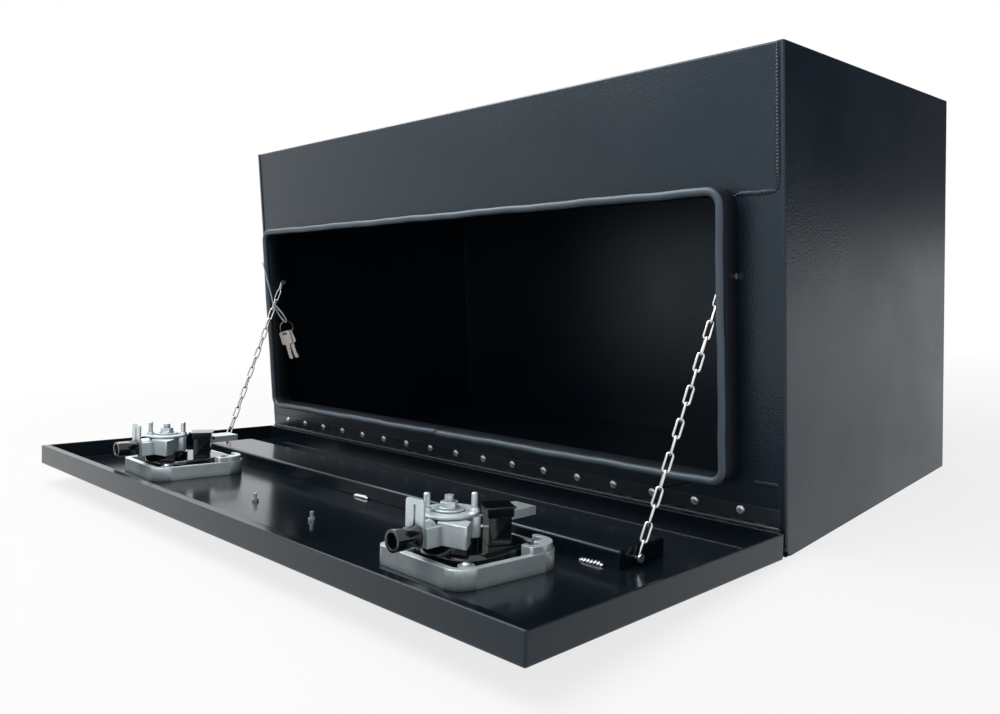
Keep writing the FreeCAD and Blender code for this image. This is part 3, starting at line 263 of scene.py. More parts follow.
# %% Finishes
def finish(name, group, bump, group_values, **shader_values):
    """A material whose colour, roughness and height come from one of the groups."""
    material = bpy.data.materials.new(name)
    material.use_nodes = True
    tree = material.node_tree
    shader = tree.nodes["Principled BSDF"]
    for label, value in shader_values.items():
        shader.inputs[label.replace("_", " ")].default_value = value
    detail = tree.nodes.new("ShaderNodeGroup")
    detail.node_tree = group
    for label, value in group_values.items():
        detail.inputs[label].default_value = value
    tree.links.new(detail.outputs["Color"], shader.inputs["Base Color"])
    tree.links.new(detail.outputs["Roughness"], shader.inputs["Roughness"])
    relief = tree.nodes.new("ShaderNodeBump")
    relief.inputs["Strength"].default_value, relief.inputs["Distance"].default_value = bump
    tree.links.new(detail.outputs["Height"], relief.inputs["Height"])
    tree.links.new(relief.outputs["Normal"], shader.inputs["Normal"])
    return material


def skin(name, tone, dusty, dust, rough, drift, peel, bump, **shader_values):
    values = {
        "Tone": (*tone, 1), "Dusty Tone": (*dusty, 1), "Dust": dust, "Roughness": rough,
        "Gloss Drift": drift, "Peel Size": peel,
    }
    return finish(name, sprayed_skin, bump, values, **shader_values)


def metal(name, tone, stain, amount, rough, depth, draw, bump, metallic=1.0):
    values = {
        "Tone": (*tone, 1), "Stain": (*stain, 1), "Stain Amount": amount, "Roughness": rough,
        "Grain Depth": depth, "Draw": draw,
    }
    return finish(name, bare_metal, bump, values, Metallic=metallic)


EVEN = (500.0, 500.0, 500.0)
COOL = (0.74, 0.89, 1.0, 1.0)
finishes = {
    "box_coat": skin(
        "box_powder_coat", tone=(0.0035, 0.01, 0.019), dusty=(0.013, 0.018, 0.024), dust=0.25,
        rough=0.33, drift=0.1, peel=330.0, bump=(0.5, 0.0008), IOR=1.5, Specular_Tint=COOL),
    "door_coat": skin(
        "door_powder_coat", tone=(0.004, 0.008, 0.0125), dusty=(0.012, 0.016, 0.021), dust=0.15,
        rough=0.17, drift=0.08, peel=260.0, bump=(0.12, 0.0004), IOR=1.5,
        Specular_IOR_Level=0.38, Specular_Tint=COOL),
    "hinge_coat": skin(
        "hinge_powder_coat", tone=(0.012, 0.016, 0.021), dusty=(0.06, 0.063, 0.07), dust=0.35,
        rough=0.3, drift=0.12, peel=500.0, bump=(0.3, 0.0004), IOR=1.55, Specular_Tint=COOL),
    "seal_rubber": skin(
        "seal_rubber_skin", tone=(0.01, 0.013, 0.017), dusty=(0.035, 0.038, 0.042), dust=0.35,
        rough=0.5, drift=0.15, peel=600.0, bump=(0.3, 0.0003), Specular_IOR_Level=0.2,
        Specular_Tint=COOL),
    "black_casting": skin(
        "handle_coat", tone=(0.009, 0.011, 0.013), dusty=(0.035, 0.036, 0.04), dust=0.25,
        rough=0.4, drift=0.12, peel=600.0, bump=(0.3, 0.0003)),
    "black_plastic": skin(
        "black_moulding", tone=(0.004, 0.006, 0.008), dusty=(0.014, 0.016, 0.02), dust=0.12,
        rough=0.14, drift=0.08, peel=300.0, bump=(0.08, 0.0003), Coat_Weight=0.4,
        Coat_Roughness=0.06),
    "tie_plastic": skin(
        "white_nylon", tone=(0.84, 0.91, 0.98), dusty=(0.74, 0.8, 0.88), dust=0.3,
        rough=0.42, drift=0.1, peel=700.0, bump=(0.2, 0.0002)),
    "bright_steel": metal(
        "bright_plating", tone=(0.62, 0.62, 0.62), stain=(0.34, 0.34, 0.34), amount=0.4,
        rough=0.16, depth=0.1, draw=(300.0, 300.0, 900.0), bump=(0.15, 0.0002)),
    "zinc_steel": metal(
        "zinc_plating", tone=(0.66, 0.74, 0.78), stain=(0.46, 0.52, 0.55), amount=0.4,
        rough=0.32, depth=0.16, draw=EVEN, bump=(0.25, 0.0002), metallic=0.65),
    "rivet_steel": metal(
        "drawn_steel", tone=(0.68, 0.69, 0.71), stain=(0.4, 0.41, 0.43), amount=0.4,
        rough=0.28, depth=0.14, draw=(900.0, 900.0, 900.0), bump=(0.2, 0.0002), metallic=0.85),
    "cast_metal": metal(
        "raw_die_casting", tone=(0.64, 0.71, 0.74), stain=(0.42, 0.47, 0.5), amount=0.45,
        rough=0.4, depth=0.25, draw=(420.0, 420.0, 420.0), bump=(0.5, 0.0004), metallic=0.55),
    "badge_aluminium": metal(
        "brushed_badge", tone=(0.74, 0.75, 0.76), stain=(0.6, 0.6, 0.61), amount=0.2,
        rough=0.28, depth=0.2, draw=(20.0, 900.0, 900.0), bump=(0.2, 0.0002)),
    "key_nickel": metal(
        "nickel_plating", tone=(0.46, 0.42, 0.39), stain=(0.24, 0.21, 0.19), amount=0.45,
        rough=0.3, depth=0.14, draw=EVEN, bump=(0.2, 0.0002), metallic=0.6),
}
# A paler copy of the seal's rubber for its rounded front face: a painted sheen for the light that
# face catches.
seal_sheen_rubber = skin(
    "seal_face_painted_sheen", tone=(0.05, 0.066, 0.083), dusty=(0.12, 0.146, 0.17), dust=0.45,
    rough=0.5, drift=0.2, peel=500.0, bump=(0.3, 0.0003), Specular_Tint=COOL)
print(len(finishes), "finishes")

# %% [markdown]
# The corners of folded sheet and of castings are rounder than a narrow modelled edge can show,
# and a sheet's geometry can't be rounded by more than half its gauge. A Bevel node can do it,
# because it only bends the shading normal near an edge, over a radius in metres. The bump is
# then laid over that normal.

# %% Rounder edges in the shading
EDGE_RADII = {"box_coat": 0.0018, "door_coat": 0.0032, "hinge_coat": 0.0012, "cast_metal": 0.0015}
for slot, radius in EDGE_RADII.items():
    tree = finishes[slot].node_tree
    relief = next(node for node in tree.nodes if node.type == "BUMP")
    edge = tree.nodes.new("ShaderNodeBevel")
    edge.samples = 4
    edge.inputs["Radius"].default_value = radius
    tree.links.new(edge.outputs["Normal"], relief.inputs["Normal"])
print("Rounder edges on", list(EDGE_RADII))

# %% [markdown]
# Plated and cast parts are painted darker in their crevices and hollows, a painted shade where
# little light reaches, and so is the small hole in each rivet where its mandrel broke off. An
# Ambient Occlusion node multiplies the colour by how open a spot is, so that no single hollow has
# to be marked by hand.

# %% Painted shade in crevices
PAINTED_CREVICE_SHADE = {"rivet_steel": 0.004, "zinc_steel": 0.006, "cast_metal": 0.008, "key_nickel": 0.004}
for slot, reach in PAINTED_CREVICE_SHADE.items():
    tree = finishes[slot].node_tree
    detail = next(node for node in tree.nodes if node.type == "GROUP")
    # The occlusion darkens the colour where a spot is closed in: painted shade in crevices and
    # hollows.
    painted_shade = tree.nodes.new("ShaderNodeAmbientOcclusion")
    painted_shade.samples = 8
    painted_shade.inputs["Distance"].default_value = reach
    tree.links.new(detail.outputs["Color"], painted_shade.inputs["Color"])
    tree.links.new(painted_shade.outputs["Color"], tree.nodes["Principled BSDF"].inputs["Base Color"])
print("Darker crevices on", list(PAINTED_CREVICE_SHADE))

# %% [markdown]
# The part's record names one finish for each CAD node. Following it by a loop gives every node
# its material, and a node that the list forgets would stop the script here.

# %% Put the finishes on the CAD nodes
slot_of = {part["node"]: part["material_slot"] for part in frame["record"]["subparts"]}
for name, item in frame["nodes"].items():
    item.data.materials.clear()
    item.data.materials.append(finishes[slot_of[name]])
print(len(slot_of), "CAD nodes have a finish")

# %% [markdown]
# No real edge is perfectly sharp, and an edge that catches the light is what tells the eye
# where a sheet ends. A Bevel modifier rounds the CAD edges by half a millimetre to two, without
# changing the stored mesh. A Weld modifier comes first and joins coincident points, because the
# imported faces don't share their corners.

# %% Soften the CAD edges
SAME_CORNER = 0.00001
SHARP_ANGLE = math.radians(40)


def soften(item, width):
    """Rounds a CAD node's edges by modifiers, with its coincident points joined first."""
    weld = item.modifiers.new("join_corners", "WELD")
    weld.merge_threshold = SAME_CORNER
    bevel = item.modifiers.new("soft_edges", "BEVEL")
    bevel.width = width
    bevel.segments = 2
    bevel.limit_method = "ANGLE"
    bevel.angle_limit = SHARP_ANGLE
    bevel.use_clamp_overlap = True
    bevel.harden_normals = True


def both_sides(*kinds):
    return [f"{kind}_{side}" for side in ("left", "right") for kind in kinds]


SOFT_EDGES = {
    0.0007: ["door_pan", "upper_front_panel", "side_panel_right", "side_panel_left",
             "front_sill", "door_channel", "channel_end_caps", "badge_plate"],
    0.0018: both_sides("lock_ring"),
    0.0011: both_sides("cam", "lock_guard", "t_handle"),
    0.0004: both_sides("cam_nut", "cam_washer", "slotted_tab", "tail_bracket", "roller_sleeve",
                       "sleeve_screw"),
}
for width, names in SOFT_EDGES.items():
    for name in names:
        soften(frame["nodes"][name], width)
print("Softened:", sum(len(names) for names in SOFT_EDGES.values()), "nodes")

# %% [markdown]
# The pieces below are sections moved along a path: round wire for the chain links and the split
# ring, the rubber's profile for the seal, ripples for the welds and a flat strap for the tie. A
# curve with a bevel could do some of this, but a mesh made ring by ring gives every piece its own
# section, and the same few helpers serve them all.

# %% Sweep a section along a path
def place_in_scene(name, data):
    item = bpy.data.objects.new(name, data)
    bpy.context.scene.collection.objects.link(item)
    return item


def mesh_piece(name, points, faces, slot, smooth=True):
    """A new mesh in the scene, with the finish of its slot."""
    mesh = bpy.data.meshes.new(name)
    mesh.from_pydata(points, [], faces)
    mesh.validate()
    if smooth:
        mesh.shade_smooth()
    mesh.materials.append(finishes[slot])
    piece = place_in_scene(name, mesh)
    return piece


def join_meshes(name, parts, slot, smooth=True):
    """One mesh of several parts, each given by its points and faces."""
    points, faces = [], []
    for part_points, part_faces in parts:
        shift = len(points)
        points += part_points
        faces += [tuple(shift + corner for corner in face) for face in part_faces]
    return mesh_piece(name, points, faces, slot, smooth)


def ring_faces(rings, sides, closed):
    """Quads between neighbouring rings of points; a closed path joins the last to the first."""
    faces = []
    for i in range(rings if closed else rings - 1):
        low = i * sides
        high = (i + 1) % rings * sides
        for j in range(sides):
            following = (j + 1) % sides
            faces.append((low + j, low + following, high + following, high + j))
    if not closed:
        faces.append(tuple(reversed(range(sides))))
        faces.append(tuple((rings - 1) * sides + j for j in range(sides)))
    return faces


def path_directions(path, closed):
    """The direction of a path at each of its points."""
    count = len(path)
    directions = []
    for i, spot in enumerate(path):
        ahead = path[(i + 1) % count] if closed or i < count - 1 else spot
        behind = path[i - 1] if closed or i > 0 else spot
        directions.append((ahead - behind).normalized())
    return directions


def round_tube(path, radius, closed, sides=10):
    """Points and faces of a round wire along a path; the normal is carried from ring to ring."""
    points = []
    directions = path_directions(path, closed)
    normal = directions[0].orthogonal().normalized()
    for spot, along in zip(path, directions):
        normal = (normal - along * normal.dot(along)).normalized()
        beside = along.cross(normal)
        for j in range(sides):
            turn = 2 * math.pi * j / sides
            points.append(spot + (normal * math.cos(turn) + beside * math.sin(turn)) * radius)
    return points, ring_faces(len(path), sides, closed)


# %% [markdown]
# A stay chain is a row of welded oval links, each turned a quarter turn from the one before. The
# chain as a whole is rolled so that every other link faces the photographer, and each link sways
# by up to five degrees, by a sine of its number, because no real chain hangs quite straight.

# %% Stay chains
CHAIN_TOP = (0.523, -0.2795, 0.335)
CHAIN_LOW = (0.5004, 0.1536, PLATE_LIFT + 0.0097)
LINK_COUNT = 17
LINK_LENGTH = 0.0268
LINK_WIDTH = 0.0105
LINK_WIRE = 0.0015
END_GAP = 0.0083
CHAIN_ROLL = math.radians(-38)
LINK_SWAY = math.radians(5)
SWAY_STEP = 2.4
TIED_LINK = 2


def oval_path(steps=8):
    """Centre line of one link's wire, along X."""
    bend = LINK_WIDTH / 2 - LINK_WIRE
    straight = LINK_LENGTH / 2 - LINK_WIDTH / 2
    path = []
    for sign in (1, -1):
        for i in range(steps + 1):
            turn = -math.pi / 2 + math.pi * i / steps
            path.append(Vector((
                sign * (straight + bend * math.cos(turn)), sign * bend * math.sin(turn), 0)))
    return path


def chain_run(side):
    """Both ends of a chain, the way it runs down, and the pitch of its links."""
    top = Vector((side * CHAIN_TOP[0], CHAIN_TOP[1], CHAIN_TOP[2]))
    low = on_door(side * CHAIN_LOW[0], CHAIN_LOW[1], CHAIN_LOW[2])
    run = low - top
    return top, low, run.normalized(), (run.length - 2 * END_GAP) / (LINK_COUNT - 1)


def make_chain(name, side):
    top, low, along, pitch = chain_run(side)
    flat = Vector((side, 0, 0))
    flat = (flat - along * flat.dot(along)).normalized()
    upright = along.cross(flat)
    oval = oval_path()
    links = []
    for i in range(LINK_COUNT):
        middle = top + along * (END_GAP + pitch * i)
        sway = LINK_SWAY * math.sin(SWAY_STEP * i + side)
        turn = sway + CHAIN_ROLL + (math.pi / 2 if i % 2 == 0 else 0)
        across = flat * math.cos(turn) + upright * math.sin(turn)
        bent = [middle + along * spot.x + across * spot.y for spot in oval]
        links.append(round_tube(bent, LINK_WIRE, closed=True))
    chain = join_meshes(name, links, "bright_steel")
    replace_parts(chain, name)
    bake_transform(chain)
    return chain


chains = [make_chain("chain_left", -1), make_chain("chain_right", 1)]
print("Chains:", [(chain.name, len(chain.data.vertices)) for chain in chains])

# %% [markdown]
# The door seal is an extruded rubber strip pinched over the lip round the opening. Seen from
# the front it has a rounded face, then a dark groove, then a flank that runs back to the box.
# The rounded face is given a paler copy of the rubber: a painted sheen for the light it catches.
# Its section is swept round the opening with a little waviness, as a strip pushed on by hand
# has. Its two ends meet at the bottom, where the cut shows as a thin slit.

# %% Door seal
SEAL_HALF_WIDTH = 0.5325
SEAL_LOW = 0.087
SEAL_HIGH = 0.4357
SEAL_CORNER = 0.0175
SEAL_JOINT = -0.01
SEAL_SLIT = 0.0012
SEAL_STEP = 0.008
CORNER_STEPS = 8
SEAL_WAVES = [(0.0005, 31), (0.0003, 83)]
SEAL_DEPTH = 0.036
BOX_FRONT = -0.275

# Each pair is outward from the lip's line and forward from the box's front
SEAL_SECTION = [
    (-0.0047, 0.0006), (-0.0047, 0.0262), (-0.0038, 0.0274), (-0.0038, 0.0284),
    (-0.0049, 0.0296), (-0.0051, 0.0318), (-0.0042, 0.0344), (-0.0020, 0.0358),
    (0.0, 0.0361), (0.0020, 0.0358), (0.0042, 0.0344), (0.0051, 0.0318),
    (0.0049, 0.0296), (0.0038, 0.0284), (0.0038, 0.0274), (0.0047, 0.0262),
    (0.0047, 0.0006),
]
# These sides of the section make the rounded front face, which gets the paler rubber as a painted
# sheen.
FIRST_SHEEN_SIDE = 4
LAST_SHEEN_SIDE = 11


def seal_route():
    """Points round the opening from slit to slit, with their outward directions."""
    half = SEAL_HALF_WIDTH - SEAL_CORNER
    low = SEAL_LOW + SEAL_CORNER
    high = SEAL_HIGH - SEAL_CORNER
    down = Vector((0, 0, -1))
    stops = [(Vector((SEAL_JOINT + SEAL_SLIT / 2, 0, SEAL_LOW)), down)]
    for i, (x, z) in enumerate(((half, low), (half, high), (-half, high), (-half, low))):
        for step in range(CORNER_STEPS + 1):
            turn = math.pi / 2 * (i - 1 + step / CORNER_STEPS)
            out = Vector((math.cos(turn), 0, math.sin(turn)))
            stops.append((Vector((x, 0, z)) + out * SEAL_CORNER, out))
    stops.append((Vector((SEAL_JOINT - SEAL_SLIT / 2, 0, SEAL_LOW)), down))
    route = stops[:1]
    for spot, out in stops[1:]:
        last = route[-1][0]
        steps = max(1, round((spot - last).length / SEAL_STEP))
        for step in range(1, steps + 1):
            route.append((last.lerp(spot, step / steps), out))
    return route


def make_seal():
    route = seal_route()
    points = []
    length = 0.0
    last = route[0][0]
    for spot, out in route:
        length += (spot - last).length
        last = spot
        wave = sum(height * math.sin(rate * length) for height, rate in SEAL_WAVES)
        for across, forward in SEAL_SECTION:
            sway = wave * forward / SEAL_DEPTH
            points.append(spot + out * (across + sway) + Vector((0, BOX_FRONT - forward, 0)))
    sides = len(SEAL_SECTION)
    faces = ring_faces(len(route), sides, closed=False)
    seal = mesh_piece("door_seal_strip", points, faces, "seal_rubber")
    # The rounded front face gets the paler copy of the rubber: a painted sheen.
    seal.data.materials.append(seal_sheen_rubber)
    for polygon in seal.data.polygons:
        if FIRST_SHEEN_SIDE <= polygon.index % sides < LAST_SHEEN_SIDE:
            polygon.material_index = 1
    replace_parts(seal, "door_seal")
    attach(seal, "box")
    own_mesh(seal)
    return seal


seal = make_seal()
print("Seal:", len(seal.data.vertices), "points")

# %% [markdown]
# A weld bead is a row of frozen ripples. Each ripple is a shallow crescent, here four to five
# millimetres behind the last. A texture could show them, but they catch the light and stand in
# the outline, so they are modelled: a half-round bar whose radius rises and falls along its
# length. The butt seams of the box and the stitches beside the door's channel are both made so.

# %% Weld beads
BEAD_SIDES = 9
BEAD_HEIGHT = 0.75
BEAD_SINK = 0.0002
RIPPLE_LAG = 0.7
RIPPLE_STEPS = 8
END_SIZE = 0.35
END_RISE = 6
WANDER_RATES = [(1, 190), (0.6, 431)]


def ripple_bar(start, end, out, radius, ripple, wander, trough=0.6):
    """A half-round bar along a seam, standing out along a direction, with frozen ripples."""
    run = end - start
    along = run.normalized()
    beside = along.cross(out).normalized()
    steps = max(int(run.length / (ripple / RIPPLE_STEPS)), 4)
    points = []
    for i in range(steps + 1):
        share = i / steps
        travelled = share * run.length
        wave = abs(math.sin(math.pi * travelled / ripple))
        taper = min(1.0, END_RISE * share + END_SIZE, END_RISE * (1 - share) + END_SIZE)
        size = radius * taper * (trough + (1 - trough) * wave)
        drift = sum(part * wander * math.sin(travelled * rate) for part, rate in WANDER_RATES)
        for j in range(BEAD_SIDES):
            turn = math.pi * j / (BEAD_SIDES - 1)
            lag = along * (RIPPLE_LAG * ripple * math.sin(turn))
            points.append(
                start + run * share + lag + beside * (size * math.cos(turn) + drift)
                + out * (size * BEAD_HEIGHT * math.sin(turn) - BEAD_SINK)
            )
    return points, ring_faces(steps + 1, BEAD_SIDES, closed=False)


SEAM_SIDE = 0.592
SEAM_TOP = 0.597
HEADER_SEAM = 0.4317
HEADER_END = 0.5385
SILL_SEAM = 0.086
SILL_END = 0.556
STITCH_PLACES = (-0.454, 0, 0.454)
STITCH_REACH = 0.183
STITCH_LIFT = PLATE_LIFT + 0.001
STITCH_HALF = 0.017


def make_box_beads():
    forward = Vector((0, -1, 0))
    bars = []
    for side in (-1, 1):
        corner = Vector((side * SEAM_SIDE, BOX_FRONT, HEADER_SEAM))
        top = Vector((side * SEAM_SIDE, BOX_FRONT, SEAM_TOP))
        header = Vector((side * HEADER_END, BOX_FRONT, HEADER_SEAM))
        sill = Vector((side * SEAM_SIDE, BOX_FRONT, SILL_SEAM))
        sill_end = Vector((side * SILL_END, BOX_FRONT, SILL_SEAM))
        bars.append(
            ripple_bar(corner, top, forward, radius=0.0031, ripple=0.004, wander=0.0002))
        bars.append(
            ripple_bar(corner, header, forward, radius=0.0033, ripple=0.0045, wander=0.0003))
        bars.append(
            ripple_bar(sill, sill_end, forward, radius=0.003, ripple=0.0045, wander=0.0003))
    beads = join_meshes("seam_welds", bars, "box_coat")
    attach(beads, "box")
    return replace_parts(beads, "frame_weld_beads")


def make_stitches():
    bars = []
    out = (DOOR.to_3x3() @ Vector((0, -0.6, 0.8))).normalized()
    for x in STITCH_PLACES:
        start = on_door(x - STITCH_HALF, STITCH_REACH, STITCH_LIFT)
        end = on_door(x + STITCH_HALF, STITCH_REACH, STITCH_LIFT)
        bars.append(
            ripple_bar(start, end, out, radius=0.0046, ripple=0.005, wander=0.0004, trough=0.35))
    stitches = join_meshes("stitch_beads", bars, "rivet_steel")
    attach(stitches, "door")
    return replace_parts(stitches, "stitch_welds")


seam_welds = make_box_beads()
stitch_beads = make_stitches()
print("Welds:", len(seam_welds.data.polygons) + len(stitch_beads.data.polygons), "faces")

# %% [markdown]
# Two keys hang on a split ring, and a white cable tie holds the ring on the left chain. A key is
# one flat outline with its slot, cut out of sheet: its two faces are split into triangles round
# the slot, and its rim is a band of quads. The split ring is two turns of wire, side by side.

# %% Keys and their ring
RING_MIDDLE = Vector((-0.5145, -0.281, 0.243))
RING_RADIUS = 0.013
RING_WIRE = 0.00052
RING_ANGLE = math.radians(81)
KEY_ANGLE = math.radians(36)
KEY_GAUGE = 0.002
KEY_PLACES = [(-13, -0.0035, -0.0012), (-21, 0.0008, 0.0012)]
HEAD_HALF = 0.011
HEAD_TOP = 0.0057
HEAD_LOW = -0.0213
HEAD_CORNER = 0.004
BLADE_HALF = 0.0042
BLADE_TIP = -0.0523
BLADE_BEVEL = 0.003
POINT_LEFT = -0.0012
POINT_RIGHT = 0.001
FIRST_TOOTH = 0.0022
TOOTH_FLAT = 0.0007
TOOTH_PITCH = 0.0026
TOOTH_DEPTHS = [0.0006, 0.0021, 0.0009, 0.0026, 0.0012, 0.0019, 0.0005, 0.0023, 0.0]
SLOT_REACH = 0.0031
SLOT_RADIUS = 0.0019
RING_TURNS = 2
RING_STEPS = 72


def arc(across, up, radius, start, sweep=90, steps=5):
    """Points of an arc in the key's plane, anticlockwise from an angle in degrees."""
    turns = [math.radians(start + sweep * i / steps) for i in range(steps + 1)]
    return [(across + radius * math.cos(t), up + radius * math.sin(t)) for t in turns]


def key_outline():
    """The head with its round corners, the blade's straight back, its point and its teeth."""
    side = HEAD_HALF - HEAD_CORNER
    outline = arc(side, HEAD_TOP - HEAD_CORNER, HEAD_CORNER, 0)
    outline += arc(-side, HEAD_TOP - HEAD_CORNER, HEAD_CORNER, 90)
    outline += arc(-side, HEAD_LOW + HEAD_CORNER, HEAD_CORNER, 180)
    outline += [(-BLADE_HALF, HEAD_LOW), (-BLADE_HALF, BLADE_TIP + BLADE_BEVEL)]
    outline += [(POINT_LEFT, BLADE_TIP), (POINT_RIGHT, BLADE_TIP)]
    for i, depth in enumerate(TOOTH_DEPTHS):
        up = BLADE_TIP + FIRST_TOOTH + TOOTH_PITCH * i
        outline += [(BLADE_HALF - depth, up), (BLADE_HALF - depth, up + TOOTH_FLAT)]
    outline.append((BLADE_HALF, HEAD_LOW))
    return outline + arc(side, HEAD_LOW + HEAD_CORNER, HEAD_CORNER, 270)


def flat_piece(loops, gauge):
    """Points and faces of a plate in XZ; the first loop is its outline, the rest are holes."""
    flat = [Vector((x, 0, z)) for loop in loops for x, z in loop]
    triangles = tessellate_polygon([[Vector((x, z, 0)) for x, z in loop] for loop in loops])
    count = len(flat)
    half = Vector((0, gauge / 2, 0))
    points = [spot - half for spot in flat] + [spot + half for spot in flat]
    faces = [tuple(triangle) for triangle in triangles]
    faces += [tuple(count + corner for corner in reversed(triangle)) for triangle in triangles]
    first = 0
    for loop in loops:
        for i in range(len(loop)):
            here = first + i
            following = first + (i + 1) % len(loop)
            faces.append((here, here + count, following + count, following))
        first += len(loop)
    return points, faces


def make_keys():
    slot = arc(SLOT_REACH, 0, SLOT_RADIUS, -90, 180) + arc(-SLOT_REACH, 0, SLOT_RADIUS, 90, 180)
    points, faces = flat_piece([key_outline(), slot[::-1]], KEY_GAUGE)
    hang = Matrix.Translation(RING_MIDDLE - Vector((0, 0, RING_RADIUS)))
    parts = []
    for lean, across, along in KEY_PLACES:
        place = (
            hang @ Matrix.Rotation(KEY_ANGLE, 4, "Z") @ Matrix.Translation((across, along, 0))
            @ Matrix.Rotation(math.radians(lean), 4, "Y")
        )
        parts.append(([place @ spot for spot in points], faces))
    keys = join_meshes("cut_keys", parts, "key_nickel", smooth=False)
    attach(keys, "keys")
    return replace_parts(keys, "keys")


def make_key_ring():
    across = Vector((math.cos(RING_ANGLE), math.sin(RING_ANGLE), 0))
    axle = Vector((-math.sin(RING_ANGLE), math.cos(RING_ANGLE), 0))
    path = []
    for i in range(RING_STEPS + 1):
        turn = RING_TURNS * 2 * math.pi * i / RING_STEPS
        out = across * math.cos(turn) + Vector((0, 0, math.sin(turn)))
        aside = axle * (2 * RING_WIRE * (i / RING_STEPS - 0.5))
        path.append(RING_MIDDLE + out * RING_RADIUS + aside)
    points, faces = round_tube(path, RING_WIRE, closed=False, sides=8)
    ring = mesh_piece("split_ring", points, faces, "key_nickel")
    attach(ring, "keys")
    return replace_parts(ring, "key_ring")


keys = make_keys()
key_ring = make_key_ring()
print("Keys and ring:", len(keys.data.polygons) + len(key_ring.data.polygons), "faces")

# %% [markdown]
# The cable tie is a flat strap. Its loop runs through the third link of the chain and through
# the key ring, its head is a small block with chamfered ends, and its tail stands up and narrows
# to the tip.

# %% Cable tie
TIE_WIDTH = 0.0036
TIE_GAUGE = 0.0011
TIE_HALF = 0.0045
TIE_HEAD = 0.0042
TIE_TIP = Vector((-0.512, -0.325, 0.377))
LOOP_STEPS = 28
LOOP_FULLNESS = 1.1
LOOP_TAPER = 0.5
HEAD_DROP = 1.7
HEAD_ENDS = [(-0.5, 0.7), (-0.38, 1), (0.38, 1), (0.5, 0.7)]
TAIL_STEPS = 12
TAIL_BOW = 0.0012
TAIL_TAPER = 0.55


def strap(path, face, widths, gauges, closed):
    """Points and faces of a flat strap along a path, whose wide side lies along one direction."""
    points = []
    for spot, along, width, gauge in zip(path, path_directions(path, closed), widths, gauges):
        wide = (face - along * face.dot(along)).normalized() * width / 2
        thick = along.cross(wide).normalized() * gauge / 2
        points += [
            spot + wide + thick, spot - wide + thick, spot - wide - thick, spot + wide - thick]
    return points, ring_faces(len(path), 4, closed)


def make_tie():
    top, _, along, pitch = chain_run(-1)
    high = top + along * (END_GAP + TIED_LINK * pitch)
    low = RING_MIDDLE + Vector((0, 0, RING_RADIUS - RING_WIRE - TIE_GAUGE))
    up = (high - low).normalized()
    long = (high - low).length
    across = Vector((math.cos(KEY_ANGLE), math.sin(KEY_ANGLE), 0))
    across = (across - up * across.dot(up)).normalized()
    face = up.cross(across)
    loop = []
    for i in range(LOOP_STEPS):
        turn = 2 * math.pi * i / LOOP_STEPS
        share = (1 - math.cos(turn)) / 2
        fullness = LOOP_FULLNESS - LOOP_TAPER * share
        loop.append(low + up * long * share + across * TIE_HALF * math.sin(turn) * fullness)
    pieces = [
        strap(loop, face, [TIE_WIDTH] * LOOP_STEPS, [TIE_GAUGE] * LOOP_STEPS, closed=True)]
    start = high - up * HEAD_DROP * TIE_HEAD - across * (TIE_HALF + TIE_HEAD / 4)
    blocks = [start + up * TIE_HEAD * end for end, _ in HEAD_ENDS]
    sizes = [TIE_HEAD * size for _, size in HEAD_ENDS]
    pieces.append(strap(blocks, face, sizes, sizes, closed=False))
    shares = [i / TAIL_STEPS for i in range(TAIL_STEPS + 1)]
    tail = [
        start.lerp(TIE_TIP, share) + across * TAIL_BOW * math.sin(math.pi * share)
        for share in shares
    ]
    widths = [TIE_WIDTH * (1 - TAIL_TAPER * share ** 3) for share in shares]
    pieces.append(strap(tail, face, widths, [TIE_GAUGE] * len(tail), closed=False))
    tie = join_meshes("nylon_tie", pieces, "tie_plastic", smooth=False)
    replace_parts(tie, "cable_tie")
    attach(tie, "box")
    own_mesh(tie)
    return tie


tie = make_tie()
print("Tie:", len(tie.data.polygons), "faces")

# %% [markdown]
# The camera stands where the photographer did: in front of the right end, a little above the
# middle. Its lens and its small shift were worked out from the box's corners in the picture.

# %% Camera
SENSOR_WIDTH = 36
FOCAL_SHARE = 0.829865
CAMERA_SPOT = (1.05833, -1.14672, 0.3542)
CAMERA_PAN = 41.499
CAMERA_DIP = 5.242
CAMERA_ROLL = -1.629

camera_data = bpy.data.cameras.new("photo_camera")
camera_data.sensor_width = SENSOR_WIDTH
camera_data.lens = SENSOR_WIDTH * FOCAL_SHARE
camera_data.shift_x = -0.08314
camera_data.shift_y = -0.01644
camera_data.clip_end = 50
camera = place_in_scene("photo_camera", camera_data)
camera_aim = (
    Matrix.Rotation(math.radians(CAMERA_PAN), 4, "Z")
    @ Matrix.Rotation(math.radians(90 - CAMERA_DIP), 4, "X")
    @ Matrix.Rotation(math.radians(CAMERA_ROLL), 4, "Z")
)
camera.matrix_world = Matrix.Translation(CAMERA_SPOT) @ camera_aim
bpy.context.scene.camera = camera
print("Camera at", tuple(round(c, 3) for c in camera.location))

# %% [markdown]
# The stage is a pale floor that runs into a white background. Light Path tells a shader what kind
# of ray is asking: the camera, the reflections and what passes through clear parts see the glow,
# while the light that the floor gives back to the object is that of plain pale paint. Away from
# the object the glow fades to white, and the shadow stays round the feet of the box.

# %% Floor
FLOOR_HALF = 9.0
FLOOR_GAP = 0.0005
FADE_START = 0.9
FADE_END = 2.0
NEAR_GLOW = 0.78
PALE_FLOOR = (0.8, 0.79, 0.77, 1)
WHITE = (1, 1, 1, 1)


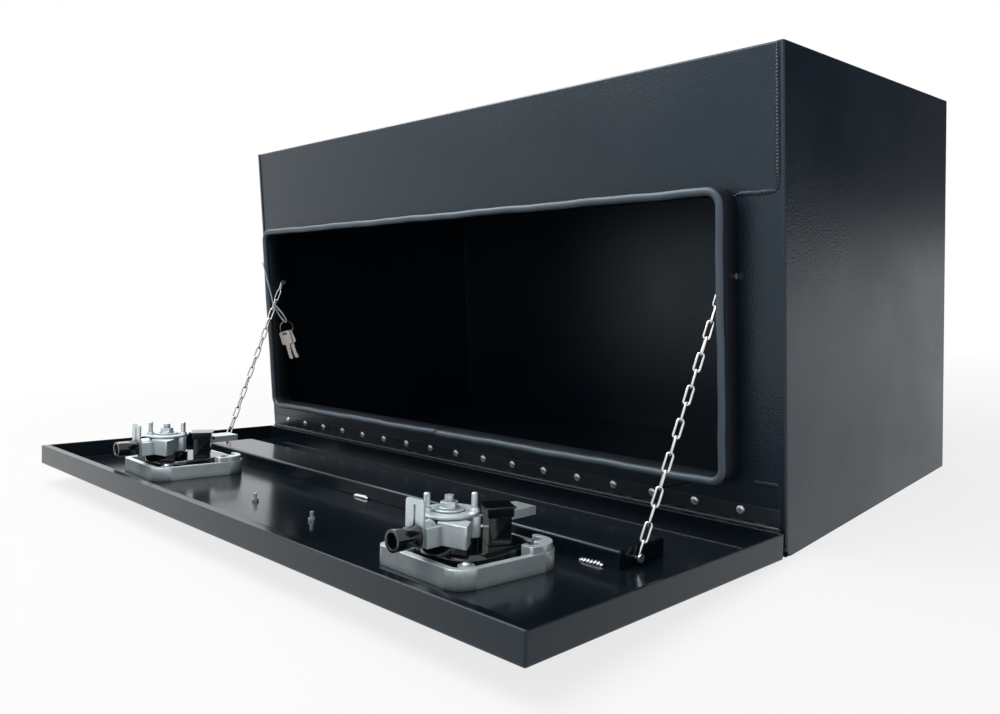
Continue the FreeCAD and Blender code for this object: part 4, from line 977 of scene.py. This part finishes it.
def stage_plane(name, corners, material_name, colour, roughness):
    """A flat piece of the stage in one plain paint."""
    mesh = bpy.data.meshes.new(name)
    mesh.from_pydata(corners, [], [(0, 1, 2, 3)])
    material = bpy.data.materials.new(material_name)
    material.use_nodes = True
    shader = material.node_tree.nodes["Principled BSDF"]
    shader.inputs["Base Color"].default_value = colour
    shader.inputs["Roughness"].default_value = roughness
    mesh.materials.append(material)
    return place_in_scene(name, mesh)


def seen_share(tree):
    """One for rays that show a thing, nought for rays that only gather its light."""
    ray = tree.nodes.new("ShaderNodeLightPath")
    seen = math_node(tree, "MAXIMUM", ray.outputs["Is Camera Ray"], ray.outputs["Is Glossy Ray"])
    return math_node(tree, "MAXIMUM", seen, ray.outputs["Is Transmission Ray"])


def blend_shaders(tree, share, first, second, target):
    mix = tree.nodes.new("ShaderNodeMixShader")
    tree.links.new(share, mix.inputs["Fac"])
    tree.links.new(first, mix.inputs[1])
    tree.links.new(second, mix.inputs[2])
    tree.links.new(mix.outputs["Shader"], target.inputs["Surface"])


def make_floor():
    signs = ((-1, -1), (1, -1), (1, 1), (-1, 1))
    corners = [(x * FLOOR_HALF, y * FLOOR_HALF, 0) for x, y in signs]
    floor = stage_plane("floor", corners, "pale_floor", PALE_FLOOR, 0.8)
    floor.location.z = cad_box[0].z - FLOOR_GAP
    tree = floor.active_material.node_tree
    place = tree.nodes.new("ShaderNodeTexCoord").outputs["Object"]
    away = add_node(tree, "ShaderNodeVectorMath", operation="LENGTH")
    tree.links.new(place, away.inputs[0])
    fade = add_node(tree, "ShaderNodeMapRange", From_Min=FADE_START, From_Max=FADE_END,
                    To_Min=NEAR_GLOW, To_Max=1.0)
    tree.links.new(away.outputs["Value"], fade.inputs["Value"])
    share = math_node(tree, "MULTIPLY", seen_share(tree), fade.outputs["Result"])
    glow = add_node(tree, "ShaderNodeEmission", Color=WHITE, Strength=1.0)
    paint = tree.nodes["Principled BSDF"]
    blend_shaders(tree, share, paint.outputs["BSDF"], glow.outputs["Emission"],
                  tree.nodes["Material Output"])
    return floor


floor = make_floor()
print("Floor at", round(floor.location.z, 4))

# %% [markdown]
# A dark card stands behind the right end, out of the picture, where only reflections meet it.
# The side of the box mirrors it from the camera's height up, and mirrors the pale floor below:
# that is what gives the flat side its dark top and lighter foot.

# %% Dark card
CARD_LEFT, CARD_RIGHT = 0.8, 5.0
CARD_LOW, CARD_HIGH = 0.42, 4.0
CARD_DEPTH = 2.6
DARK_CLOTH = (0.03, 0.045, 0.065, 1)


def make_card():
    corners = [(CARD_LEFT, CARD_DEPTH, CARD_LOW), (CARD_RIGHT, CARD_DEPTH, CARD_LOW),
               (CARD_RIGHT, CARD_DEPTH, CARD_HIGH), (CARD_LEFT, CARD_DEPTH, CARD_HIGH)]
    card = stage_plane("dark_card", corners, "dark_cloth", DARK_CLOTH, 1.0)
    card.visible_camera = False
    card.visible_diffuse = False
    card.visible_shadow = False
    return card


card = make_card()
print("Card at", CARD_DEPTH, "m behind the middle")

# %% [markdown]
# The object is lit by a plain, faintly cool sky and two soft lamps, weak enough that black paint
# stays black, while the camera and the reflections see a white background. A third, large lamp
# gives no diffuse light: it only draws the bright lines along the edges that face it, as the
# bright ceiling of a workshop does.

# %% World and lamps
SKY = (0.93, 0.97, 1.0, 1)
SKY_STRENGTH = 0.42


def make_world():
    world = bpy.data.worlds.new("studio_sky")
    bpy.context.scene.world = world
    world.use_nodes = True
    tree = world.node_tree
    tree.nodes.clear()
    sky = add_node(tree, "ShaderNodeBackground", Color=SKY, Strength=SKY_STRENGTH)
    white = add_node(tree, "ShaderNodeBackground", Color=WHITE, Strength=1.0)
    out = tree.nodes.new("ShaderNodeOutputWorld")
    blend_shaders(tree, seen_share(tree), sky.outputs["Background"],
                  white.outputs["Background"], out)


def softbox(name, spot, target, size, power):
    """A rectangular lamp at one spot that faces another."""
    data = bpy.data.lights.new(name, "AREA")
    data.shape = "RECTANGLE"
    data.size, data.size_y = size
    data.energy = power
    lamp = place_in_scene(name, data)
    lamp.location = spot
    lamp.rotation_euler = (Vector(target) - Vector(spot)).to_track_quat("-Z", "Y").to_euler()
    return lamp


make_world()
softbox("overhead_softbox", spot=(-0.4, -1.2, 2.6), target=(0, -0.3, 0.2), size=(2.4, 1.6),
        power=55)
softbox("front_softbox", spot=(1.2, -3.4, 2.2), target=(0, -0.3, 0.25), size=(1.6, 1.6),
        power=9)
sheen = softbox("edge_reflector", spot=(-1.7, -0.7, 2.5), target=(-0.2, -0.5, 0),
                size=(3.2, 2.2), power=105)
sheen.visible_diffuse = False

# %% [markdown]
# Last, the view transform is set to Standard, so that a colour renders as it is written.

# %% Finish
bpy.context.scene.view_settings.view_transform = "Standard"
bpy.context.view_layer.update()
